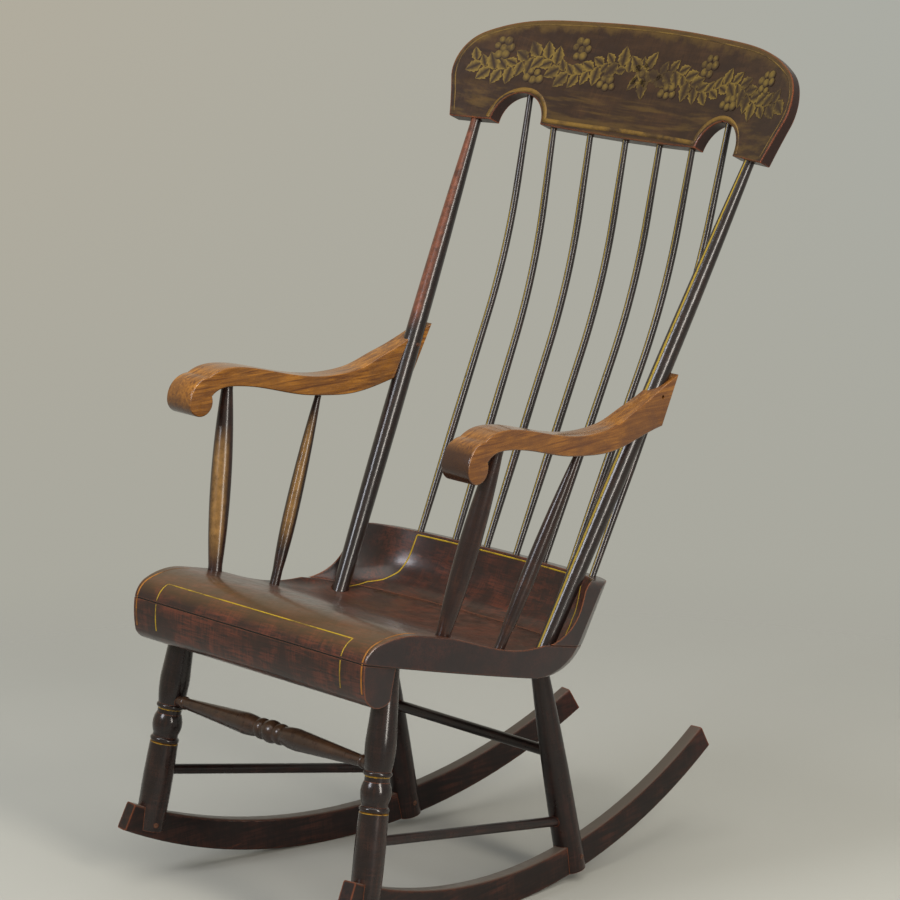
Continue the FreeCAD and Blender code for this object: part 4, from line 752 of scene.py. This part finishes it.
lay, add, given = new_tree("lay_on_wood", LAY_INPUTS)
flat = add("InputPosition")
apart = add(SPLIT, (flat,)).outputs
in_plane = add(COMBINE, (apart["X"], apart["Y"], STAND_OFF))
turned = add("FunctionNodeRotateVector", {"Vector": in_plane, "Rotation": given["Turn"]})
start = add(VECTOR, (turned, given["Place"]), "ADD")
down = add("FunctionNodeRotateVector", {"Vector": (0.0, 0.0, -1.0), "Rotation": given["Turn"]})
wood_mesh = add("ObjectInfo", {"Object": given["Wood"]}).outputs["Geometry"]
hit = add("Raycast", {
    "Target Geometry": wood_mesh, "Source Position": start,
    "Ray Direction": down, "Ray Length": 2 * STAND_OFF,
}).outputs
height = add(MATH, (apart["Z"], given["Lift"]), "ADD")
raised = add(VECTOR, {0: hit["Hit Normal"], "Scale": height}, "SCALE")
landed = add(VECTOR, (hit["Hit Position"], raised), "ADD")
moved = add("SetPosition", {"Geometry": given["Geometry"], "Position": landed})
add("NodeGroupOutput", (moved,))

# %% The tree that pulls a striping brush along a path
stripe, add, given = new_tree("striping_brush", (
    *LAY_INPUTS,
    ("Width", "Float", 0.002),
    ("Paint", "Float", 0.00012),
    ("Step", "Float", 0.0025),
    ("Finish", "Material", None),
))
path = add("MeshToCurve", {"Mesh": given["Geometry"]})
even = add("ResampleCurve", {"Curve": path, "Length": given["Step"]}, mode="LENGTH")
level = add("SetCurveNormal", {"Curve": even}, mode="Z_UP")
brush = add("CurvePrimitiveQuadrilateral", {"Width": given["Width"], "Height": given["Paint"]})
coat = add("CurveToMesh", {"Curve": level, "Profile Curve": brush, "Fill Caps": True})
laid = run_inside(add, given, lay, LAY_INPUTS, coat)
real = add("RealizeInstances", (laid,))
finish = add("SetMaterial", {"Geometry": real, "Material": given["Finish"]})
add("NodeGroupOutput", (finish,))
print("trees:", [t.name for t in bpy.data.node_groups])

# %% [markdown]
# ## Yellow lines of the seat
#
# The front roll and the riser are each a panel, so the lines are set out in the seat's own
# tilted frame: across the seat, back from the front glue line, and up from the underside.

# %% Places on the seat, and flat drawings of them
def in_seat(across, back, up):
    """A point given in millimetres in the seat's tilted frame."""
    return SEAT_ORIGIN + MM * Vector((
        across,
        back * math.cos(SEAT_TILT) + up * math.sin(SEAT_TILT),
        up * math.cos(SEAT_TILT) - back * math.sin(SEAT_TILT),
    ))


SWEEP_ROUND, SWEEP_END, SWEEP_HALF, SWEEP_POWER = 1600, 34, 222, 8


def rear_sweep(across):
    """How far the riser's bowed front stands before its middle, in millimetres."""
    return across ** 2 / SWEEP_ROUND + SWEEP_END * (across / SWEEP_HALF) ** SWEEP_POWER


def drawn(points, turn, origin):
    """World points as a flat drawing in a guide plane: what lies above the plane is dropped."""
    back = turn.to_matrix().inverted()
    return [(*(back @ (point - origin)).xy, 0.0) for point in points]


# %% A thin coat of paint
GRIT_MM, BLOTCH_MM, GRIT_SHARE, THIN_RANGE, MOST_RUBBED = 3.0, 45.0, 0.25, 0.16, 0.85
SHADE_GAIN, SHADE_START = 1.25, -0.22


def thin_paint(name, fresh, dull, under, kept, shade=False):
    """A thin coat of colour: uneven, dulled by varnish, and rubbed through to what lies under it."""
    made = bpy.data.materials.new(name)
    add = emptied(made)
    place = add(PLACE).outputs
    in_mm = add(VECTOR, {0: place["Object"], "Scale": 1 / MM}, "SCALE")
    blotches = add(NOISE, noise(in_mm, BLOTCH_MM, 8.0, 0.66))
    grit = add(NOISE, noise(in_mm, GRIT_MM, 4.0, 0.6))
    tone = grit
    if shade:
        drawn_shade = add("Attribute", attribute_name="shade").outputs["Fac"]
        tone = add(MATH, (drawn_shade, SHADE_GAIN, SHADE_START), "MULTIPLY_ADD", use_clamp=True)
    coat = add(MIX, {0: tone, 6: colour(dull), 7: colour(fresh)}, **RGBA)
    both = add(MATH, (grit, GRIT_SHARE, blotches), "MULTIPLY_ADD")
    rubbed = add(RANGE, (both, kept, kept + THIN_RANGE, 0.0, MOST_RUBBED))
    left = add(MIX, {0: rubbed, 6: coat, 7: colour(under)}, **RGBA)
    surface = add("BsdfPrincipled", {
        "Base Color": left, "Roughness": 0.42, "Specular IOR Level": 0.25,
    })
    add("OutputMaterial", (surface,))
    return made


# %% Seat lines
# Chrome yellow of the seat's lines, dulled by varnish
yellow = thin_paint("chrome_yellow_line", "#c4a01c", "#8f7620", "#493527", kept=0.62)
# The worn orange-yellow line along the seat's front edges
edge_yellow = thin_paint("rubbed_edge_line", "#b5761f", "#8a5522", "#4a3326", kept=0.55)

FRONT_UP = Matrix.Rotation(math.radians(45), 3, "X").to_quaternion()
PANEL_HALF, PANEL_TOP, PANEL_FOOT = 184.0, (-34.0, 26.0), (-47.0, -33.0)
RISER_HALF, RISER_FACE, RISER_LINE, RISER_STEPS = 162.0, 389.0, 125.0, 18
RISER_END = ((166, 358, 98), (171, 349, 75), (182, 335, 60), (195, 323, 51), (203, 290, 40))
EDGE_HALF, EDGE_PATH = 224.5, ((-47, -33), (-38, 16), (-8, 40), (30, 44))
LINE_WIDTH, EDGE_WIDTH = 0.0019, 0.0026

panel = [in_seat(-PANEL_HALF, *PANEL_FOOT), in_seat(-PANEL_HALF, *PANEL_TOP),
         in_seat(PANEL_HALF, *PANEL_TOP), in_seat(PANEL_HALF, *PANEL_FOOT)]
along = [RISER_HALF * step / RISER_STEPS for step in range(-RISER_STEPS, RISER_STEPS + 1)]
riser = [in_seat(-x, back, up) for x, back, up in reversed(RISER_END)]
riser += [in_seat(x, RISER_FACE - rear_sweep(x), RISER_LINE) for x in along]
riser += [in_seat(*corner) for corner in RISER_END]
left_edge, right_edge = ([in_seat(x, back, up) for back, up in EDGE_PATH] for x in (-EDGE_HALF, EDGE_HALF))

# The seat's three glued boards as one surface for the drawings to land on
seat_surface = placed("seat_surface", bpy.data.meshes.new("seat_surface"))
joined = bmesh.new()
for node in ("seat_plank", "seat_front_roll", "seat_back_riser"):
    joined.from_mesh(pieces[node].data)
joined.to_mesh(seat_surface.data)
joined.free()

SEAT_LINES = (
    ("front_panel_line", panel, LINE_WIDTH, yellow),
    ("riser_line", riser, LINE_WIDTH, yellow),
    ("left_edge_line", left_edge, EDGE_WIDTH, edge_yellow),
    ("right_edge_line", right_edge, EDGE_WIDTH, edge_yellow),
)
ON_SEAT = {"Wood": seat_surface, "Place": SEAT_ORIGIN, "Turn": FRONT_UP.to_euler()}
for name, points, width, paint in SEAT_LINES:
    drawing = drawn(points, FRONT_UP, SEAT_ORIGIN)
    pieces[name] = grown(name, stripe, drawing, {**ON_SEAT, "Width": width, "Finish": paint})

# %% [markdown]
# ## Bronze stencil of the crest
#
# A stenciller varnishes the board, waits until it is tacky, and dabs the powders on, dark at a
# leaf's rib and bright at its rim. The pattern is a garland of leaves and fruit of this
# lesson's own. One leaf is bent from a grid, set in turn left and right along a stem, and all
# of it is dropped on the bowed face by the same tree that laid the lines. Lines and bands in
# bronze go round the edge and the notches.

# %% Crest as a flat sheet: across it and up its slope, in millimetres
CREST_BOW = 1100.0
CREST_UP = Matrix.Rotation(math.radians(90) - CREST_LEAN, 3, "X").to_quaternion()
NOTCH_AT, NOTCH_RADIUS = 190.0, 42.0
BORDER_GAP, BORDER_WIDTH, BAND_GAP, BAND_WIDTH, FOOT_GAP = 7.0, 0.0018, 5.5, 0.006, 6.0
BAND_FROM, BAND_TURN, BAND_STEPS, RIM_STEPS, FOOT_POINTS = 4, 168, 28, 6, range(4, 145, 20)


def on_crest(across, up):
    """A point of the flat drawing that lands at this distance across the crest and up its slope."""
    bow = CREST_BOW - math.sqrt(CREST_BOW ** 2 - across ** 2)
    return (MM * across, MM * (up - bow * math.sin(CREST_LEAN)), 0.0)


def inset(points, gap):
    """The same open path moved to its left by a gap."""
    moved = []
    for number, point in enumerate(points):
        before, after = points[max(number - 1, 0)], points[min(number + 1, len(points) - 1)]
        along = (Vector(after) - Vector(before)).normalized()
        moved.append((point[0] - gap * along.y, point[1] + gap * along.x))
    return moved


def mirrored(points):
    """The same path on the crest's other half, drawn backwards."""
    return [(-x, y) for x, y in reversed(points)]


# %% Paths of the border and the band
# Half the rim, from its corner to the middle, smoothed through the points of the ear
corners = [Vector((CREST_CORNER, 0.0))] + [Vector((x * CREST_HALF, y * CREST_HIGH)) for x, y in EAR]
corners.append(Vector((-corners[-2].x, corners[-2].y)))
rim = [corners[0].lerp(corners[1], step / RIM_STEPS) for step in range(RIM_STEPS)]
for number in range(1, len(corners) - 2):
    before, start, end, after = corners[number - 1:number + 3]
    for step in range(RIM_STEPS):
        t = step / RIM_STEPS
        rim.append(0.5 * (2 * start + t * (end - before) + t * t * (2 * before - 5 * start + 4 * end - after)
                          + t ** 3 * (3 * start - before - 3 * end + after)))
half_border = inset([tuple(point) for point in rim], BORDER_GAP)[1:]
border = half_border + mirrored(half_border)

# The band goes round one notch, along the crest's foot and round the other
band_radius = NOTCH_RADIUS + BAND_GAP
turns = (math.radians(BAND_FROM + BAND_TURN * step / BAND_STEPS) for step in range(BAND_STEPS + 1))
half_band = [(NOTCH_AT + band_radius * math.cos(a), band_radius * math.sin(a)) for a in turns]
foot = [(NOTCH_AT - band_radius - x, FOOT_GAP) for x in FOOT_POINTS]
band = half_band + foot + mirrored(half_band)

# %% Bronze lines of the crest
# Bronze powder as a fine line, as a broad band, and dabbed dark and bright through the stencil
bronze_line = thin_paint("bronze_powder_line", "#7c6227", "#5c4625", "#35261a", kept=0.58)
bronze_band = thin_paint("bronze_powder_band", "#816428", "#624822", "#35261a", kept=0.60)
bronze = thin_paint("bronze_powder_stencil", "#80692d", "#2f2218", "#33251a", kept=0.58, shade=True)
ON_CREST = {"Wood": pieces["crest_rail"], "Place": CREST_FOOT, "Turn": CREST_UP.to_euler()}
CREST_LINES = (
    ("crest_border_line", border, BORDER_WIDTH, bronze_line),
    ("crest_notch_band", band, BAND_WIDTH, bronze_band),
)
for name, points, width, paint in CREST_LINES:
    drawing = [on_crest(*point) for point in points]
    pieces[name] = grown(name, stripe, drawing, {**ON_CREST, "Width": width, "Finish": paint})

# %% The tree that gives a flat cut-out its thickness and lays it
COAT_INPUTS = (*LAY_INPUTS, ("Paint", "Float", 0.0001), ("Finish", "Material", None))
WELD = 0.000002

coat_tree, add, given = new_tree("powdered_cut_out", COAT_INPUTS)
raised = add("ExtrudeMesh", {
    "Mesh": given["Geometry"], "Offset": UP, "Offset Scale": given["Paint"], "Individual": False,
})
under = add("FlipFaces", {"Mesh": given["Geometry"]})
shut = add("JoinGeometry", ([raised, under],))
closed = add("MergeByDistance", {"Geometry": shut, "Distance": WELD})
laid = run_inside(add, given, lay, LAY_INPUTS, closed)
finish = add("SetMaterial", {"Geometry": laid, "Material": given["Finish"]})
add("NodeGroupOutput", (finish,))

# %% The tree that draws one lobed leaf, rib dark and rim bright
# A leaf is broadest below its middle, and its lobes narrow like a saw's teeth
BELLY_POWER, TOOTH, LOBE_START, RIM_GAIN, RIB_SHADE = 0.75, -0.34, 1.1, 0.8, 0.1

leaf_tree, add, given = new_tree("cut_leaf", (("Breadth", "Float", 0.36), ("Lobes", "Float", 4.0)))
sheet = add("MeshGrid", {"Size X": 2.0, "Vertices X": 5, "Vertices Y": 17})
at = add("InputPosition")
sides = add(SPLIT, (at,)).outputs
along = add(MATH, (sides["Y"], 0.5), "ADD")
bent = add(MATH, (along, BELLY_POWER), "POWER")
swell = add(MATH, (bent, math.pi), "MULTIPLY")
belly = add(MATH, (swell,), "SINE")
turns = add(MATH, (along, given["Lobes"]), "MULTIPLY")
saw = add(MATH, (turns,), "FRACT")
lobe = add(MATH, (saw, TOOTH, LOBE_START), "MULTIPLY_ADD")
wide = add(MATH, (belly, lobe), "MULTIPLY")
reach = add(MATH, (wide, given["Breadth"]), "MULTIPLY")
out_x = add(MATH, (sides["X"], reach), "MULTIPLY")
shaped = add(COMBINE, (out_x, along))
off_rib = add(MATH, (sides["X"],), "ABSOLUTE")
rimward = add(MATH, (off_rib, RIM_GAIN, RIB_SHADE), "MULTIPLY_ADD")
shaded = add("StoreNamedAttribute", {"Geometry": sheet, "Name": "shade", "Value": rimward})
leaf = add("SetPosition", {"Geometry": shaded, "Position": shaped})
whole = add("MergeByDistance", {"Geometry": leaf, "Distance": 0.001})
add("NodeGroupOutput", (whole,))
print("leaf tree:", len(leaf_tree.nodes), "nodes")

# %% The tree that sets leaves along a stem, in turn left and right
LAYER, LEAF_LAYERS, LEAF_BASE, FRUIT_LAYERS, FRUIT_BASE = 0.00004, 5.0, 0.00006, 7.0, 0.00028
STEM_SHADE = 0.6


def stacked(add, count, instances, layers, base):
    """Instances lifted in turn on to so many layers, so that those that overlap stay apart."""
    layer = add(MATH, (count, layers), "MODULO")
    height = add(MATH, (layer, LAYER, base), "MULTIPLY_ADD")
    lifted = add("TranslateInstances", {
        "Instances": instances, "Translation": add(COMBINE, {"Z": height}), "Local Space": False,
    })
    return add("RealizeInstances", (lifted,))


spray, add, given = new_tree("leafy_stem", (
    *COAT_INPUTS,
    ("Spacing", "Float", 0.0085),
    ("Leaf", "Float", 0.027),
    ("Breadth", "Float", 0.36),
    ("Spread", "Float", 0.9),
    ("Stem", "Float", 0.0014),
    ("Seed", "Int", 4),
))
stem = add("MeshToCurve", {"Mesh": given["Geometry"]})
spots = add("CurveToPoints", {"Curve": stem, "Length": given["Spacing"]}, mode="LENGTH").outputs
count = add("InputIndex")
parity = add(MATH, (count, 2.0), "MODULO")
side = add(MATH, (parity, 2.0, -1.0), "MULTIPLY_ADD")
own_spread = add("FunctionNodeRandomValue", {2: 0.8, 3: 1.25, "Seed": given["Seed"]})
open_by = add(MATH, (own_spread, given["Spread"]), "MULTIPLY")
leaned = add(MATH, (open_by, side), "MULTIPLY")
ahead = add(SPLIT, (spots["Tangent"],)).outputs
bearing = add(MATH, (ahead["Y"], ahead["X"]), "ARCTAN2")
from_up = add(MATH, (bearing, math.pi / 2), "SUBTRACT")
angle = add(MATH, (from_up, leaned), "ADD")
euler = add(COMBINE, {"Z": angle})
turn = add("FunctionNodeEulerToRotation", (euler,))
own_size = add("FunctionNodeRandomValue", {2: 0.72, 3: 1.12, "Seed": given["Seed"]})
size = add(MATH, (own_size, given["Leaf"]), "MULTIPLY")
one_leaf = add("Group", {"Breadth": given["Breadth"]}, node_tree=leaf_tree)
leaves = add("InstanceOnPoints", {
    "Points": spots["Points"], "Instance": one_leaf, "Rotation": turn, "Scale": size,
})
all_leaves = stacked(add, count, leaves, LEAF_LAYERS, LEAF_BASE)
level = add("SetCurveNormal", {"Curve": stem}, mode="Z_UP")
ribbon = add("CurvePrimitiveLine", {"End": RIGHT})
stem_scale = add(COMBINE, (given["Stem"], 1.0, 1.0))
stem_size = add("Transform", {"Geometry": ribbon, "Scale": stem_scale})
drawn_stem = add("CurveToMesh", {"Curve": level, "Profile Curve": stem_size})
stem_shade = add("StoreNamedAttribute", {"Geometry": drawn_stem, "Name": "shade", "Value": STEM_SHADE})
everything = add("JoinGeometry", ([stem_shade, all_leaves],))
coated = run_inside(add, given, coat_tree, COAT_INPUTS, everything)
add("NodeGroupOutput", (coated,))
print("stem tree:", len(spray.nodes), "nodes")

# %% The tree that sets round fruit on the points of a drawing
LIT_SPOT, LIT_GAIN, LIT_START = (-0.25, 0.35, 0.0), -0.75, 1.1

berries, add, given = new_tree("round_fruit", (
    *COAT_INPUTS, ("Radius", "Float", 0.0062), ("Seed", "Int", 2),
))
count = add("InputIndex")
disc = add("MeshCircle", {"Vertices": 20}, fill_type="TRIANGLE_FAN")
at = add("InputPosition")
off_light = add(VECTOR, (at, LIT_SPOT), "DISTANCE")
bright = add(MATH, (off_light, LIT_GAIN, LIT_START), "MULTIPLY_ADD")
lit = add("StoreNamedAttribute", {"Geometry": disc, "Name": "shade", "Value": bright})
own_size = add("FunctionNodeRandomValue", {2: 0.82, 3: 1.12, "Seed": given["Seed"]})
size = add(MATH, (own_size, given["Radius"]), "MULTIPLY")
dots = add("InstanceOnPoints", {"Points": given["Geometry"], "Instance": lit, "Scale": size})
real = stacked(add, count, dots, FRUIT_LAYERS, FRUIT_BASE)
coated = run_inside(add, given, coat_tree, COAT_INPUTS, real)
add("NodeGroupOutput", (coated,))
print("fruit tree:", len(berries.nodes), "nodes")

# %% Drawing of the garland: a waving stem either side of a rosette, with bunches of fruit
STEM_FROM, STEM_TO, STEM_STEP, STEM_MID, STEM_WAVE, WAVE_LENGTH = 26, 286, 4, 88.0, 11.0, 128.0
STEM_DROP, ROSETTE_RADIUS, ROSETTE_POINTS, FRUIT_ABOVE = 8.0, 7.0, 16, 54
BUNCH = ((0.0, 0.0), (11.0, 3.0), (5.0, -10.0), (-6.0, -9.0), (-11.0, 2.0), (-4.0, 11.0), (7.0, 12.0))
BUNCHES = ((58.0, 63.0), (122.0, 112.0), (250.0, 104.0), (186.0, 62.0))


def stem_height(across):
    """Height of the waving stem above the crest's foot."""
    settled = STEM_DROP * (across / CREST_HALF) ** 2
    return STEM_MID - settled + STEM_WAVE * math.sin(math.tau * (across - STEM_FROM) / WAVE_LENGTH)


wave = [(x, stem_height(x)) for x in range(STEM_FROM, STEM_TO + 1, STEM_STEP)]
rosette = [(ROSETTE_RADIUS * math.cos(a), STEM_MID + ROSETTE_RADIUS * math.sin(a))
           for a in (math.tau * step / ROSETTE_POINTS for step in range(ROSETTE_POINTS))]
fruit = [(side * (x + dx), y + dy) for side in (1, -1) for x, y in BUNCHES for dx, dy in BUNCH
         if y + dy > FRUIT_ABOVE]
fruit.append((0.0, STEM_MID))
CUT_OUTS = (
    ("right_garland", wave, {"Seed": 4}),
    ("left_garland", [(-x, y) for x, y in wave], {"Seed": 9}),
    ("rosette", rosette, {"Seed": 3, "Spacing": 0.0042, "Leaf": 0.030, "Breadth": 0.30, "Spread": 1.5}),
)
for name, points, settings in CUT_OUTS:
    drawing = [on_crest(*point) for point in points]
    pieces[name] = grown(name, spray, drawing, {**ON_CREST, "Finish": bronze, **settings})
dots = [on_crest(*point) for point in fruit]
pieces["fruit"] = grown("fruit", berries, dots, {**ON_CREST, "Finish": bronze}, joined=False)

# %% Remove the seat's landing surface
bpy.data.objects.remove(seat_surface)
